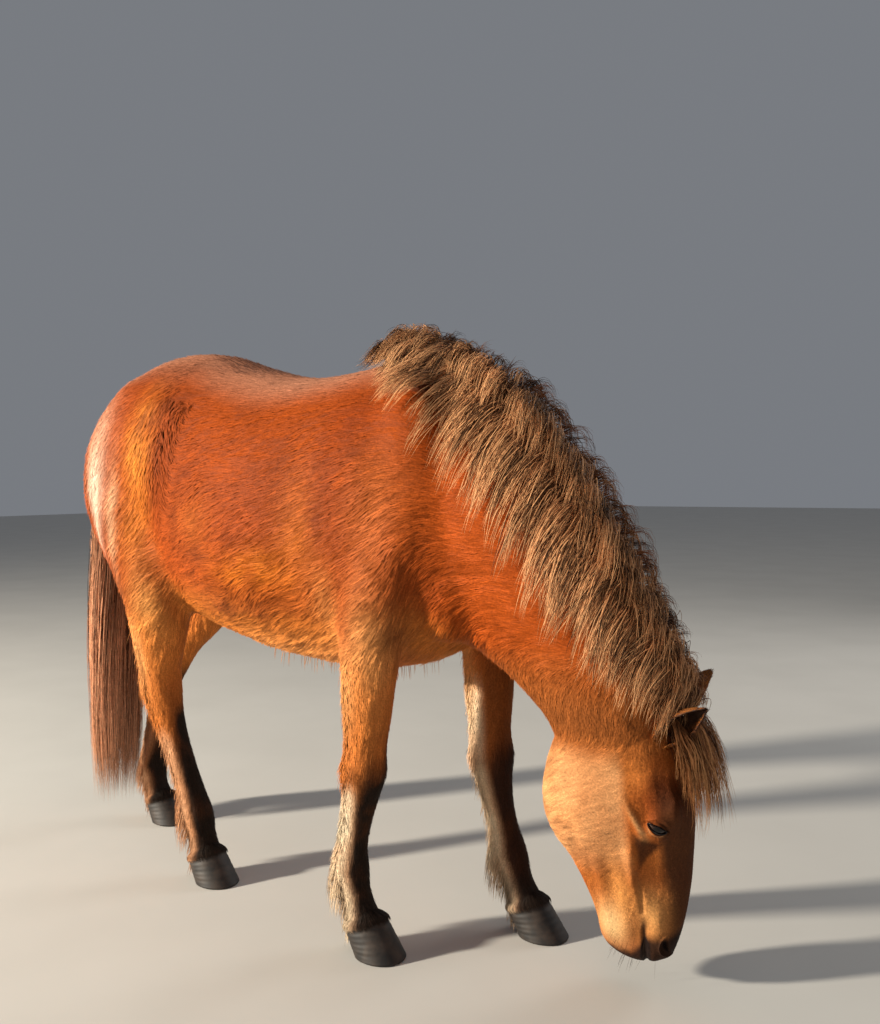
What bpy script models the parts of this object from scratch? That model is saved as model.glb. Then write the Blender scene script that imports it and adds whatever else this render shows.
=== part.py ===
"""A life-size Icelandic horse that stands and grazes, in metres, +Z up, head towards +X.

The flesh is modelled as one body: lofts through named stations and muscle masses are fused into one
skin, carved, and then parted with thin cuts into the pieces that a person would name."""

import math
import random

import bmesh
import bpy
import numpy as np
from mathutils import Matrix, Vector
from mathutils.bvhtree import BVHTree

# Fineness of the model
FLESH_VOXEL = 0.008
LOFT_STEP = 0.02
LOFT_SIDES = 36
SOFTENING = 22
HEAD_VOXEL = 0.0042
HEAD_FACES = 3500
BODY_FACES = 4700
GAP = 0.0003

# Heights
LEG_TOP = 0.70
CORONET = 0.064

# Hooves: how far the pastern's middle stands forward of the joint, horn length and width on the ground
HOOF_SLOPE = 0.34
HOOF_GROUND = (0.120, 0.104)
HOOF_TOP = (0.092, 0.090)
HOOF_FORWARD = 0.016

# The head's own frame: X runs from the poll to the muzzle, Z out of the forehead, Y to its left
POLL = Vector((0.925, 0.084, 0.572))
FACE_DOWN = Vector((-0.020, 0.208, -0.978))
FOREHEAD_OUT = Vector((0.928, 0.368, 0.060))

# Trunk stations, tail to breast: top x, top z, bottom x, bottom z, half width, widest share from the top
TRUNK = (
    (-0.712, 1.110, -0.705, 0.900, 0.100, 0.50),
    (-0.680, 1.200, -0.670, 0.800, 0.180, 0.48),
    (-0.610, 1.283, -0.600, 0.740, 0.222, 0.46),
    (-0.500, 1.335, -0.500, 0.700, 0.243, 0.46),
    (-0.400, 1.357, -0.400, 0.680, 0.250, 0.48),
    (-0.280, 1.350, -0.280, 0.655, 0.255, 0.52),
    (-0.140, 1.310, -0.140, 0.630, 0.272, 0.56),
    (0.000, 1.275, 0.000, 0.612, 0.287, 0.58),
    (0.120, 1.262, 0.120, 0.603, 0.280, 0.58),
    (0.240, 1.268, 0.240, 0.600, 0.255, 0.58),
    (0.340, 1.276, 0.340, 0.605, 0.230, 0.58),
    (0.440, 1.250, 0.440, 0.630, 0.205, 0.58),
    (0.540, 1.170, 0.510, 0.665, 0.175, 0.56),
    (0.620, 1.050, 0.560, 0.700, 0.130, 0.50),
)
# Neck stations, withers to throat: crest x, y, z, underline x, y, z, half width, widest share
NECK = (
    (0.400, 0.000, 1.230, 0.420, 0.000, 0.700, 0.150, 0.50),
    (0.560, 0.000, 1.205, 0.520, 0.000, 0.670, 0.150, 0.50),
    (0.655, 0.004, 1.130, 0.560, 0.000, 0.655, 0.135, 0.50),
    (0.735, 0.012, 1.020, 0.600, 0.003, 0.632, 0.118, 0.50),
    (0.805, 0.024, 0.915, 0.635, 0.006, 0.607, 0.106, 0.50),
    (0.862, 0.038, 0.810, 0.668, 0.010, 0.577, 0.097, 0.48),
    (0.910, 0.054, 0.710, 0.697, 0.015, 0.545, 0.090, 0.46),
    (0.942, 0.070, 0.635, 0.718, 0.020, 0.505, 0.083, 0.44),
    (0.955, 0.084, 0.580, 0.735, 0.028, 0.455, 0.076, 0.42),
)
# Head stations in its own frame, poll to lips: along, face height, jaw height, half width, widest share
HEAD = (
    (-0.045, -0.030, -0.160, 0.055, 0.40),
    (0.000, 0.012, -0.190, 0.072, 0.36),
    (0.050, 0.026, -0.222, 0.082, 0.33),
    (0.100, 0.036, -0.245, 0.088, 0.30),
    (0.150, 0.040, -0.260, 0.094, 0.27),
    (0.200, 0.040, -0.262, 0.096, 0.27),
    (0.250, 0.036, -0.250, 0.085, 0.33),
    (0.300, 0.030, -0.222, 0.073, 0.38),
    (0.350, 0.023, -0.202, 0.063, 0.42),
    (0.400, 0.013, -0.186, 0.057, 0.43),
    (0.445, 0.002, -0.175, 0.057, 0.42),
    (0.480, -0.010, -0.165, 0.058, 0.42),
    (0.510, -0.026, -0.150, 0.051, 0.45),
    (0.528, -0.048, -0.122, 0.034, 0.50),
)
# Leg joints, top to bottom, as x, y, z
FORE_JOINTS = {
    "right": ((0.450, -0.125, 0.98), (0.388, -0.158, 0.72), (0.338, -0.140, 0.405),
              (0.270, -0.115, 0.175), (0.315, -0.115, 0.040)),
    "left": ((0.440, 0.115, 0.96), (0.455, 0.140, 0.72), (0.480, 0.120, 0.405),
             (0.484, 0.175, 0.175), (0.532, 0.184, 0.040)),
}
HIND_JOINTS = {
    "right": ((-0.470, -0.140, 1.05), (-0.370, -0.165, 0.80), (-0.410, -0.125, 0.475),
              (-0.325, -0.090, 0.165), (-0.283, -0.090, 0.040)),
    "left": ((-0.500, 0.140, 1.05), (-0.500, 0.165, 0.80), (-0.725, 0.120, 0.475),
             (-0.812, 0.105, 0.165), (-0.768, 0.105, 0.040)),
}
# Leg girths: joint number with a share of the way to the next, reach to the front, to the back, half width
FORE_GIRTHS = (
    (0.00, 0.110, 0.140, 0.070),
    (0.50, 0.105, 0.125, 0.074),
    (1.00, 0.080, 0.090, 0.066),
    (1.30, 0.066, 0.066, 0.056),
    (1.60, 0.055, 0.053, 0.048),
    (1.85, 0.047, 0.047, 0.044),
    (2.00, 0.050, 0.052, 0.049),
    (2.20, 0.040, 0.043, 0.041),
    (2.45, 0.034, 0.037, 0.034),
    (2.75, 0.034, 0.038, 0.033),
    (3.00, 0.040, 0.046, 0.039),
    (3.50, 0.034, 0.036, 0.035),
    (4.00, 0.045, 0.044, 0.045),
)
HIND_GIRTHS = (
    (0.00, 0.170, 0.165, 0.100),
    (0.50, 0.160, 0.172, 0.105),
    (1.00, 0.125, 0.148, 0.095),
    (1.30, 0.100, 0.112, 0.080),
    (1.55, 0.078, 0.088, 0.064),
    (1.80, 0.057, 0.064, 0.050),
    (2.00, 0.050, 0.074, 0.047),
    (2.12, 0.044, 0.060, 0.042),
    (2.30, 0.036, 0.042, 0.036),
    (2.60, 0.034, 0.038, 0.033),
    (2.85, 0.037, 0.042, 0.036),
    (3.00, 0.041, 0.048, 0.040),
    (3.50, 0.034, 0.038, 0.036),
    (4.00, 0.045, 0.044, 0.046),
)


# Locks of hair: how many in each layer, and how wide
SEED = 9
MANE_LAYERS = (11, 10, 6, 3)
MANE_LOCK = 0.106
FORELOCKS = 7
FORELOCK_FALL = 0.22
TAIL_TIERS = ((1.12, 5), (0.96, 6), (0.76, 5))
TAIL_LOCK = 0.078
FEATHERS = 4
# Muscle masses on each side: centre, radii and lean in degrees
MUSCLES = (
    ((0.380, 0.110, 0.930), (0.150, 0.085, 0.300), 20),
    ((0.520, 0.070, 0.800), (0.100, 0.085, 0.120), 0),
    ((-0.470, 0.115, 1.020), (0.230, 0.125, 0.290), 10),
)
# Soft forms raised on the head, in its own frame: centre, reach and height, mirrored to both sides
HEAD_FORMS = (
    ((0.166, 0.088, 0.010), (0.034, 0.024, 0.020), 0.012),
    ((0.224, 0.088, -0.056), (0.024, 0.022, 0.014), 0.005),
    ((0.115, 0.070, 0.030), (0.028, 0.022, 0.020), -0.008),
    ((0.290, 0.075, -0.085), (0.065, 0.030, 0.010), 0.008),
    ((0.150, 0.085, -0.165), (0.080, 0.050, 0.075), 0.011),
    ((0.330, 0.065, -0.125), (0.060, 0.040, 0.024), -0.008),
    ((0.360, 0.060, -0.030), (0.060, 0.030, 0.025), -0.006),
    ((0.482, 0.055, -0.040), (0.030, 0.030, 0.030), 0.009),
    ((0.440, 0.060, -0.052), (0.030, 0.030, 0.022), 0.004),
    ((0.440, 0.050, -0.120), (0.040, 0.030, 0.030), 0.005),
    ((0.480, 0.000, -0.160), (0.032, 0.040, 0.020), 0.008),
    ((0.240, 0.000, -0.250), (0.130, 0.022, 0.040), -0.012),
)
# Soft forms raised on the trunk and limbs, mirrored too
BODY_FORMS = (
    ((-0.300, 0.230, 0.930), (0.100, 0.080, 0.120), -0.014),
    ((-0.300, 0.220, 1.220), (0.050, 0.060, 0.045), 0.009),
    ((0.560, 0.100, 1.020), (0.060, 0.080, 0.140), -0.008),
    ((0.225, 0.230, 0.860), (0.045, 0.080, 0.200), -0.008),
    ((0.360, 0.190, 0.960), (0.080, 0.080, 0.180), 0.012),
    ((0.430, 0.190, 0.790), (0.060, 0.080, 0.060), 0.014),
    ((-0.470, 0.220, 1.000), (0.110, 0.080, 0.160), 0.010),
)
# Eyes, nostrils and ears in the head's frame, on its left
EYE = (0.194, 0.080, -0.026)
EYE_RADIUS = 0.0205
NOSTRIL = (0.478, 0.050, -0.036)
EAR_BASE = (0.030, 0.052, -0.008)
EAR_REACH = (-0.070, 0.045, 0.090)
EAR_OPENING = (0.35, 0.90, 0.10)
# Ear stations, base to tip: share of the length, half width, half turn of the shell in degrees
EAR = ((-0.14, 0.017, 150), (0.0, 0.021, 140), (0.15, 0.026, 125), (0.35, 0.029, 112), (0.55, 0.026, 100),
       (0.75, 0.018, 92), (0.90, 0.010, 85), (1.0, 0.004, 80))
# Tail stations, dock to tip: height, outer x, inner x, y, half width
TAIL = (
    (1.205, -0.690, -0.600, 0.000, 0.030),
    (1.170, -0.742, -0.650, 0.000, 0.040),
    (1.090, -0.790, -0.715, -0.003, 0.048),
    (0.980, -0.815, -0.738, -0.010, 0.058),
    (0.850, -0.835, -0.745, -0.018, 0.068),
    (0.650, -0.850, -0.752, -0.022, 0.074),
    (0.450, -0.858, -0.760, -0.022, 0.078),
    (0.250, -0.860, -0.765, -0.022, 0.076),
    (0.090, -0.852, -0.774, -0.022, 0.064),
)
# Mane stations from withers to poll: crest x, y, z, height of the hair over the skin, its fall
MANE = (
    (0.300, 0.000, 1.275, 0.036, 0.12),
    (0.360, 0.000, 1.276, 0.062, 0.20),
    (0.440, 0.000, 1.250, 0.062, 0.27),
    (0.560, 0.000, 1.205, 0.052, 0.34),
    (0.655, 0.004, 1.130, 0.050, 0.38),
    (0.735, 0.012, 1.020, 0.050, 0.40),
    (0.805, 0.024, 0.915, 0.048, 0.40),
    (0.862, 0.038, 0.810, 0.045, 0.34),
    (0.910, 0.054, 0.710, 0.042, 0.27),
    (0.942, 0.070, 0.635, 0.038, 0.20),
    (0.952, 0.080, 0.600, 0.030, 0.14),
)


def unit(vector):
    return vector / np.linalg.norm(vector)


def between_rows(rows, places, wanted):
    """Rows read off a smooth curve through the given ones, at the wanted places along it."""
    slopes = np.gradient(rows, places, axis=0)
    index = np.clip(np.searchsorted(places, wanted, side="right") - 1, 0, len(places) - 2)
    span = (places[index + 1] - places[index])[:, None]
    t = (wanted - places[index])[:, None] / span
    return (
        (2 * t**3 - 3 * t**2 + 1) * rows[index]
        + (t**3 - 2 * t**2 + t) * span * slopes[index]
        + (3 * t**2 - 2 * t**3) * rows[index + 1]
        + (t**3 - t**2) * span * slopes[index + 1]
    )


def loft(rows, squareness=2.2):
    """Closed tube mesh: each row is a top point, a bottom point, a half width and the widest share."""
    rows = np.asarray(rows, float)
    middles = (rows[:, 0:3] + rows[:, 3:6]) / 2
    places = np.concatenate([[0], np.cumsum(np.linalg.norm(np.diff(middles, axis=0), axis=1))])
    count = max(3, round(places[-1] / LOFT_STEP) + 1)
    rows = between_rows(rows, places, np.linspace(0, places[-1], count))
    tangents = np.gradient((rows[:, 0:3] + rows[:, 3:6]) / 2, axis=0)
    angles = np.arange(LOFT_SIDES) * 2 * math.pi / LOFT_SIDES
    across = np.sign(np.cos(angles)) * np.abs(np.cos(angles)) ** (2 / squareness)
    along = np.sign(np.sin(angles)) * np.abs(np.sin(angles)) ** (2 / squareness)
    made = bmesh.new()
    rings = []
    for row, tangent in zip(rows, tangents):
        top, bottom, half_width, widest = row[0:3], row[3:6], row[6], row[7]
        up = top - bottom
        height = np.linalg.norm(up)
        side = unit(np.cross(up, tangent))
        up = up / height
        centre = top - up * height * widest
        rise = np.where(along > 0, widest, 1 - widest) * height * along
        points = centre + np.outer(across * half_width, side) + np.outer(rise, up)
        rings.append([made.verts.new(p) for p in points])
    for first, second in zip(rings, rings[1:]):
        for k in range(LOFT_SIDES):
            after = (k + 1) % LOFT_SIDES
            made.faces.new((first[k], first[after], second[after], second[k]))
    made.faces.new(rings[0][::-1])
    made.faces.new(rings[-1])
    bmesh.ops.recalc_face_normals(made, faces=made.faces)
    mesh = bpy.data.meshes.new("loft")
    made.to_mesh(mesh)
    made.free()
    return mesh


def muscle(centre, radii, lean=0.0, turn=0.0):
    """Ellipsoid mass, leant about Y and turned about Z, in degrees."""
    made = bmesh.new()
    bmesh.ops.create_icosphere(made, subdivisions=4, radius=1)
    turned = Matrix.Rotation(math.radians(turn), 4, "Z") @ Matrix.Rotation(math.radians(lean), 4, "Y")
    bmesh.ops.transform(
        made, verts=made.verts, matrix=Matrix.Translation(centre) @ turned @ Matrix.Diagonal((*radii, 1))
    )
    mesh = bpy.data.meshes.new("muscle")
    made.to_mesh(mesh)
    made.free()
    return mesh


def head_matrix():
    x = FACE_DOWN.normalized()
    y = FOREHEAD_OUT.cross(x).normalized()
    z = x.cross(y)
    turned = Matrix((x, y, z)).transposed().to_4x4()
    return Matrix.Translation(POLL) @ turned


def trunk_rows():
    return [(tx, 0, tz, bx, 0, bz, half, widest) for tx, tz, bx, bz, half, widest in TRUNK]


def head_rows():
    frame = head_matrix()
    rows = []
    for along, face, jaw, half, widest in HEAD:
        rows.append((*(frame @ Vector((along, 0, face))), *(frame @ Vector((along, 0, jaw))), half, widest))
    return rows


def leg_rows(joints, girths):
    joints = np.asarray(joints, float)
    numbers = np.arange(len(joints), dtype=float)
    places = np.array([g[0] for g in girths])
    centres = between_rows(joints, numbers, places)
    lower = between_rows(joints, numbers, np.clip(places + 0.02, 0, numbers[-1]))
    upper = between_rows(joints, numbers, np.clip(places - 0.02, 0, numbers[-1]))
    rows = []
    for centre, down, (_, front, back, half) in zip(centres, lower - upper, girths):
        down = unit(down)
        forward = unit(np.array((1.0, 0, 0)) - down[0] * down)
        rows.append((*(centre + forward * front), *(centre - forward * back), half, front / (front + back)))
    return rows


def joined(meshes, name):
    """One object holding all these meshes."""
    made = bmesh.new()
    for mesh in meshes:
        made.from_mesh(mesh)
        bpy.data.meshes.remove(mesh)
    mesh = bpy.data.meshes.new(name)
    made.to_mesh(mesh)
    made.free()
    obj = bpy.data.objects.new(name, mesh)
    bpy.context.scene.collection.objects.link(obj)
    return obj


def applied(obj):
    """The object with its modifiers made part of its mesh."""
    graph = bpy.context.evaluated_depsgraph_get()
    mesh = bpy.data.meshes.new_from_object(obj.evaluated_get(graph))
    obj.modifiers.clear()
    old, obj.data = obj.data, mesh
    bpy.data.meshes.remove(old)
    return obj


def flesh_pieces(head_only=False):
    pieces = [loft([tuple(r) for r in NECK], 2.0), loft(head_rows(), 2.3)]
    if head_only:
        return pieces
    pieces.append(loft(trunk_rows(), 2.15))
    for side, sign in (("right", -1), ("left", 1)):
        pieces.append(loft(leg_rows(FORE_JOINTS[side], FORE_GIRTHS), 2.1))
        pieces.append(loft(leg_rows(HIND_JOINTS[side], HIND_GIRTHS), 2.1))
        for (x, y, z), radii, lean in MUSCLES:
            pieces.append(muscle((x, sign * y, z), radii, lean))
    return pieces


def weigh(obj, name, weights):
    """Vertex group holding one weight for each vertex."""
    group = obj.vertex_groups.new(name=name)
    for index, weight in enumerate(weights):
        if weight > 0:
            group.add((index,), float(weight), "REPLACE")
    return group


def points_of(obj):
    points = np.empty(len(obj.data.vertices) * 3, np.float32)
    obj.data.vertices.foreach_get("co", points)
    return points.reshape(-1, 3).astype(float)


def ramp(values, low, high):
    """0 at low, 1 at high, with soft ends."""
    t = np.clip((values - low) / (high - low), 0, 1)
    return t * t * (3 - 2 * t)


def along_head(points):
    """The points in the head's own frame."""
    inverse = np.array(head_matrix().inverted())
    return points @ inverse[:3, :3].T + inverse[:3, 3]


def flesh(pieces, voxel, softening):
    """The pieces fused into one skin, softened where they meet and carved."""
    body = joined(pieces, "flesh")
    remesh = body.modifiers.new("fuse", "REMESH")
    remesh.mode = "VOXEL"
    remesh.voxel_size = voxel
    applied(body)
    points = points_of(body)
    on_head = ramp(along_head(points)[:, 0], 0.02, 0.10) * ramp(points[:, 0], 0.70, 0.74)
    on_leg = 1 - ramp(points[:, 2], LEG_TOP - 0.14, LEG_TOP + 0.06)
    calm = np.clip(1 - 0.88 * np.maximum(on_head, on_leg), 0, 1)
    weigh(body, "calm", calm)
    smooth = body.modifiers.new("soften", "SMOOTH")
    smooth.iterations = softening
    smooth.vertex_group = "calm"
    applied(body)
    carve(body)
    return body


def mouth_height(along):
    """Where the line between the lips runs, in the head's frame."""
    return -0.073 - 0.04 * (along - 0.40)


def carve(body):
    """Hollows and ridges of the head and trunk, as soft rises along the surface's own normals."""
    points = points_of(body)
    normals = np.empty(len(points) * 3, np.float32)
    body.data.vertex_normals.foreach_get("vector", normals)
    normals = normals.reshape(-1, 3)
    local = along_head(points)
    rise = np.zeros(len(points))
    for centre, reach, height in HEAD_FORMS:
        for side in (-1, 1):
            away = (local - np.array(centre) * (1, side, 1)) / np.array(reach)
            rise += height * np.exp(-(away**2).sum(axis=1)) / (2 if centre[1] == 0 else 1)
    for centre, reach, height in BODY_FORMS:
        for side in (-1, 1):
            away = (points - np.array(centre) * (1, side, 1)) / np.array(reach)
            rise += height * np.exp(-(away**2).sum(axis=1)) / (2 if centre[1] == 0 else 1)
    for side in (-1, 1):
        eye = local - np.array(EYE) * (1, side, 1)
        away = np.linalg.norm(eye * (0.86, 1, 1.12), axis=1)
        rise += np.where(eye[:, 2] > 0, 0.0055, 0.0035) * np.exp(-(((away - 0.0235) / 0.0060) ** 2))
        mouth = np.abs(local[:, 2] - mouth_height(local[:, 0])) / 0.0042
        share = ramp(local[:, 0], 0.425, 0.445) * ramp(side * local[:, 1], 0.0, 0.012)
        rise -= 0.0045 * share * np.exp(-(mouth**2))
    points += normals * rise[:, None]
    body.data.vertices.foreach_set("co", points.astype(np.float32).ravel())
    body.data.update()


def thinned(body, faces):
    """A copy of the body with its faces merged down to about that many."""
    twin = copy_of(body, "thinned")
    fewer = twin.modifiers.new("fewer", "DECIMATE")
    fewer.ratio = faces / sum(len(p.vertices) - 2 for p in twin.data.polygons)
    return applied(twin)


def block(planes, grow=0.0):
    """Closed convex solid inside all the planes, each a point and an outward normal, moved out by grow."""
    made = bmesh.new()
    bmesh.ops.create_cube(made, size=6)
    for point, normal in planes:
        normal = Vector(normal).normalized()
        cut = bmesh.ops.bisect_plane(
            made,
            geom=[*made.verts, *made.edges, *made.faces],
            plane_co=Vector(point) + normal * grow,
            plane_no=normal,
            clear_outer=True,
        )
        edges = [e for e in cut["geom_cut"] if isinstance(e, bmesh.types.BMEdge)]
        bmesh.ops.contextual_create(made, geom=edges)
    bmesh.ops.recalc_face_normals(made, faces=made.faces)
    return object_of(made, "block")


def object_of(made, name):
    mesh = bpy.data.meshes.new(name)
    made.to_mesh(mesh)
    made.free()
    obj = bpy.data.objects.new(name, mesh)
    bpy.context.scene.collection.objects.link(obj)
    return obj


def copy_of(obj, name):
    twin = bpy.data.objects.new(name, obj.data.copy())
    bpy.context.scene.collection.objects.link(twin)
    return twin


def boolean(obj, operation, others, solver="EXACT"):
    """Joins, cuts or keeps what is common with the other objects, which are then removed."""
    for other in others:
        step = obj.modifiers.new("boolean", "BOOLEAN")
        step.operation = operation
        step.solver = solver
        step.object = other
    applied(obj)
    for other in others:
        drop(other)
    return obj


def drop(obj):
    mesh = obj.data
    bpy.data.objects.remove(obj)
    bpy.data.meshes.remove(mesh)


def largest(obj):
    """Keeps only the largest closed surface, followed from face to face across their edges."""
    made = bmesh.new()
    made.from_mesh(obj.data)
    seen, best, best_size = set(), [], -1.0
    for start in made.faces:
        if start in seen:
            continue
        seen.add(start)
        stack, found = [start], []
        while stack:
            face = stack.pop()
            found.append(face)
            for edge in face.edges:
                for other in edge.link_faces:
                    if other not in seen:
                        seen.add(other)
                        stack.append(other)
        corners = np.array([v.co for face in found for v in face.verts])
        size = float(np.prod(corners.max(axis=0) - corners.min(axis=0)))
        if size > best_size:
            best, best_size = found, size
    keep = set(best)
    bmesh.ops.delete(made, geom=[f for f in made.faces if f not in keep], context="FACES")
    bmesh.ops.delete(made, geom=[v for v in made.verts if not v.link_faces], context="VERTS")
    made.to_mesh(obj.data)
    made.free()
    return obj


def parted(body, name, planes, others=()):
    """The stretch of the body inside the planes and clear of the other blocks, as a node of its own."""
    piece = copy_of(body, name)
    if planes:
        boolean(piece, "INTERSECT", [block(planes)])
    for other in others:
        boolean(piece, "DIFFERENCE", [block(other, GAP)])
    return largest(piece)


def clear_of(obj, others):
    """Cuts an object back so that it stands a thin gap off the others."""
    blades = []
    for other in others:
        blade = copy_of(other, "blade")
        points = points_of(blade)
        normals = np.empty(len(points) * 3, np.float32)
        blade.data.vertex_normals.foreach_get("vector", normals)
        points += normals.reshape(-1, 3) * (2 * GAP)
        blade.data.vertices.foreach_set("co", points.astype(np.float32).ravel())
        blade.data.update()
        blades.append(blade)
    boolean(obj, "DIFFERENCE", blades, "MANIFOLD")
    return largest(obj)


def hull_of(obj, grow):
    """Convex solid around an object, a little larger."""
    made = bmesh.new()
    for vert in obj.data.vertices:
        made.verts.new(vert.co)
    bmesh.ops.convex_hull(made, input=made.verts)
    bmesh.ops.delete(made, geom=[v for v in made.verts if not v.link_faces], context="VERTS")
    bmesh.ops.recalc_face_normals(made, faces=made.faces)
    middle = sum((v.co for v in made.verts), Vector()) / len(made.verts)
    for vert in made.verts:
        vert.co += (vert.co - middle).normalized() * grow
    return object_of(made, "hull")


def head_plane():
    """Parting plane from the poll to the throat, facing the neck."""
    frame = head_matrix()
    turned = frame.to_3x3()
    return frame @ Vector((-0.004, 0, 0)), turned @ Vector((-0.976, 0, -0.219))


def coronet_plane(joints, above):
    """Sloping plane where the hair ends and the horn begins."""
    x, y = coronet_middle(joints)
    normal = Vector((HOOF_SLOPE, 0, -1)).normalized()
    point = Vector((x, y, CORONET))
    return (point, normal) if above else (point - normal * -GAP, -normal)


def coronet_middle(joints):
    fetlock, foot = joints[3], joints[4]
    share = (fetlock[2] - CORONET) / (fetlock[2] - foot[2])
    return tuple(fetlock[k] + (foot[k] - fetlock[k]) * share for k in (0, 1))


def fore_planes(sign, elbow):
    """The block of one foreleg, narrow fore and aft, under a plane that climbs outwards to the elbow."""
    return (
        ((0, sign * 0.035, 0), (0, -sign, 0)),
        ((elbow - 0.105, 0, 0.70), (-1, 0, 0.25)),
        ((elbow + 0.115, 0, 0.70), (1, 0, 0.25)),
        ((elbow, sign * 0.060, 0.655), (0.0, -sign * 0.52, 0.85)),
    )


def hind_planes(sign, x_shift):
    """The block of one hind leg, under a plane that climbs outwards and back from the flank."""
    flank = Vector((-0.16 + x_shift, sign * 0.21, 0.72))
    buttock = Vector((-0.74, sign * 0.12, 0.88))
    groin = Vector((-0.44 + x_shift / 2, sign * 0.01, 0.69))
    normal = (buttock - flank).cross(groin - flank)
    normal = normal if normal.z > 0 else -normal
    return (
        ((0, sign * 0.006, 0), (0, -sign, 0)),
        ((x_shift - 0.12, 0, 0), (1, 0, 0)),
        (groin, normal),
    )


def tube(rings, name):
    """Closed solid from rings of points, capped at both ends; a last ring of one point is a tip."""
    made = bmesh.new()
    verts = [[made.verts.new(p) for p in ring] for ring in rings]
    for first, second in zip(verts, verts[1:]):
        count = len(first)
        for k in range(count):
            after = (k + 1) % count
            if len(second) == 1:
                made.faces.new((first[k], first[after], second[0]))
            else:
                made.faces.new((first[k], first[after], second[after], second[k]))
    made.faces.new(verts[0][::-1])
    if len(verts[-1]) > 2:
        made.faces.new(verts[-1])
    bmesh.ops.recalc_face_normals(made, faces=made.faces)
    return object_of(made, name)


def hoof(name, joints):
    """Horn capsule: a sloping wall from the flat ground ring to the coronet's plane."""
    x, y = coronet_middle(joints)
    angles = np.arange(20) * 2 * math.pi / 20
    bulge = 1 - 0.10 * np.clip(-np.cos(angles), 0, 1) ** 3
    rings = []
    for share in (0.0, 0.05, 0.55, 1.0):
        length = HOOF_GROUND[0] + (HOOF_TOP[0] - HOOF_GROUND[0]) * share - (0.004 if share == 0 else 0)
        width = HOOF_GROUND[1] + (HOOF_TOP[1] - HOOF_GROUND[1]) * share - (0.004 if share == 0 else 0)
        forward = 0.046 * (1 - share)
        across = x + forward + np.cos(angles) * bulge * length / 2
        top = CORONET - GAP + HOOF_SLOPE * (x + np.cos(angles) * bulge * length / 2 - x)
        rings.append(np.stack([across, y + np.sin(angles) * width / 2, top * share], axis=1))
    return tube(rings, name)


def ear(name, side):
    """Cupped shell: a rolled leaf, open to the side, with a thin rim."""
    frame = head_matrix()
    turned = frame.to_3x3()
    base = frame @ Vector((EAR_BASE[0], side * EAR_BASE[1], EAR_BASE[2]))
    reach = turned @ Vector((EAR_REACH[0], side * EAR_REACH[1], EAR_REACH[2]))
    axis = reach.normalized()
    opening = turned @ Vector((EAR_OPENING[0], side * EAR_OPENING[1], EAR_OPENING[2]))
    opening = (opening - axis * opening.dot(axis)).normalized()
    across = axis.cross(opening)
    rings = []
    for share, half, turn in EAR:
        middle = base + reach * share - opening * (0.006 * share)
        sweep = np.radians(np.linspace(-turn, turn, 8))
        wall = min(0.0042, half * 0.5)
        ring = [middle + (-opening * math.cos(a) * 0.9 + across * math.sin(a)) * half for a in sweep]
        ring += [
            middle + (-opening * math.cos(a) * 0.9 + across * math.sin(a)) * (half - wall) for a in sweep[::-1]
        ]
        if share <= 0.0:
            ring = [middle + (p - middle) * 1.0 for p in ring]
        rings.append(ring)
    return tube(rings, name)


def ball(name, centre, radius, rings=8, segments=14):
    made = bmesh.new()
    bmesh.ops.create_uvsphere(made, u_segments=segments, v_segments=rings, radius=radius)
    bmesh.ops.translate(made, verts=made.verts, vec=centre)
    return object_of(made, name)


def nostril(side):
    """Comma-shaped hollow, cut slantwise into the muzzle."""
    made = bmesh.new()
    bmesh.ops.create_icosphere(made, subdivisions=2, radius=1)
    lean = Matrix.Rotation(math.radians(28), 4, "Y")
    place = Matrix.Translation((NOSTRIL[0], side * NOSTRIL[1], NOSTRIL[2]))
    shape = place @ lean @ Matrix.Rotation(math.radians(side * -18), 4, "Z") @ Matrix.Diagonal((0.021, 0.012, 0.009, 1))
    bmesh.ops.transform(made, verts=made.verts, matrix=head_matrix() @ shape)
    return object_of(made, "nostril")


def tail_core(share=1.0, plump=1.0):
    """The dock and the inner mass of the tail's hair."""
    last = TAIL[0][0] + (TAIL[-1][0] - TAIL[0][0]) * share
    rows = []
    for z, outer, inner, y, half in TAIL:
        middle, deep = (outer + inner) / 2, (inner - outer) / 2 * plump
        rows.append((middle - deep, y, z, middle + deep, y, z, half * plump, 0.5))
    rows = np.array(rows)
    rows[:, [2, 5]] = TAIL[0][0] + (rows[:, [2, 5]] - TAIL[0][0]) * share
    mesh = loft(rows[::1], 2.4)
    obj = bpy.data.objects.new("tail", mesh)
    bpy.context.scene.collection.objects.link(obj)
    fewer = obj.modifiers.new("fewer", "DECIMATE")
    fewer.ratio = 0.16
    applied(obj)
    return obj


def skin_of(obj):
    """Search tree over an object's faces."""
    return BVHTree.FromPolygons([v.co.copy() for v in obj.data.vertices], [p.vertices[:] for p in obj.data.polygons])


def fall(skin, start, heading, reach, steps, clearance, pull=0.35, hold=1.5):
    """Points of a hair that sets out on a heading, sinks under its weight and lies over the skin."""
    point, heading = Vector(start), Vector(heading).normalized()
    points, outs = [point.copy()], []
    for k in range(steps):
        share = (k + 1) / steps
        ahead = point + heading * (reach / steps)
        near, out, _, _ = skin.find_nearest(ahead)
        height = (ahead - near).dot(out)
        wanted = clearance(share)
        if height < wanted:
            ahead += out * (wanted - height)
        elif height > wanted * hold:
            ahead -= out * min(height - wanted * hold, 0.5 * reach / steps)
        heading = (ahead - point).normalized()
        heading = (heading + Vector((0, 0, -pull))).normalized()
        point = ahead
        points.append(point.copy())
        outs.append(out.copy())
    outs.insert(0, outs[0])
    return points, outs


def crest_stations(count):
    table = np.asarray(MANE, float)
    places = np.concatenate([[0], np.cumsum(np.linalg.norm(np.diff(table[:, :3], axis=0), axis=1))])
    return between_rows(table, places, np.linspace(0, places[-1], count))


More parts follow.
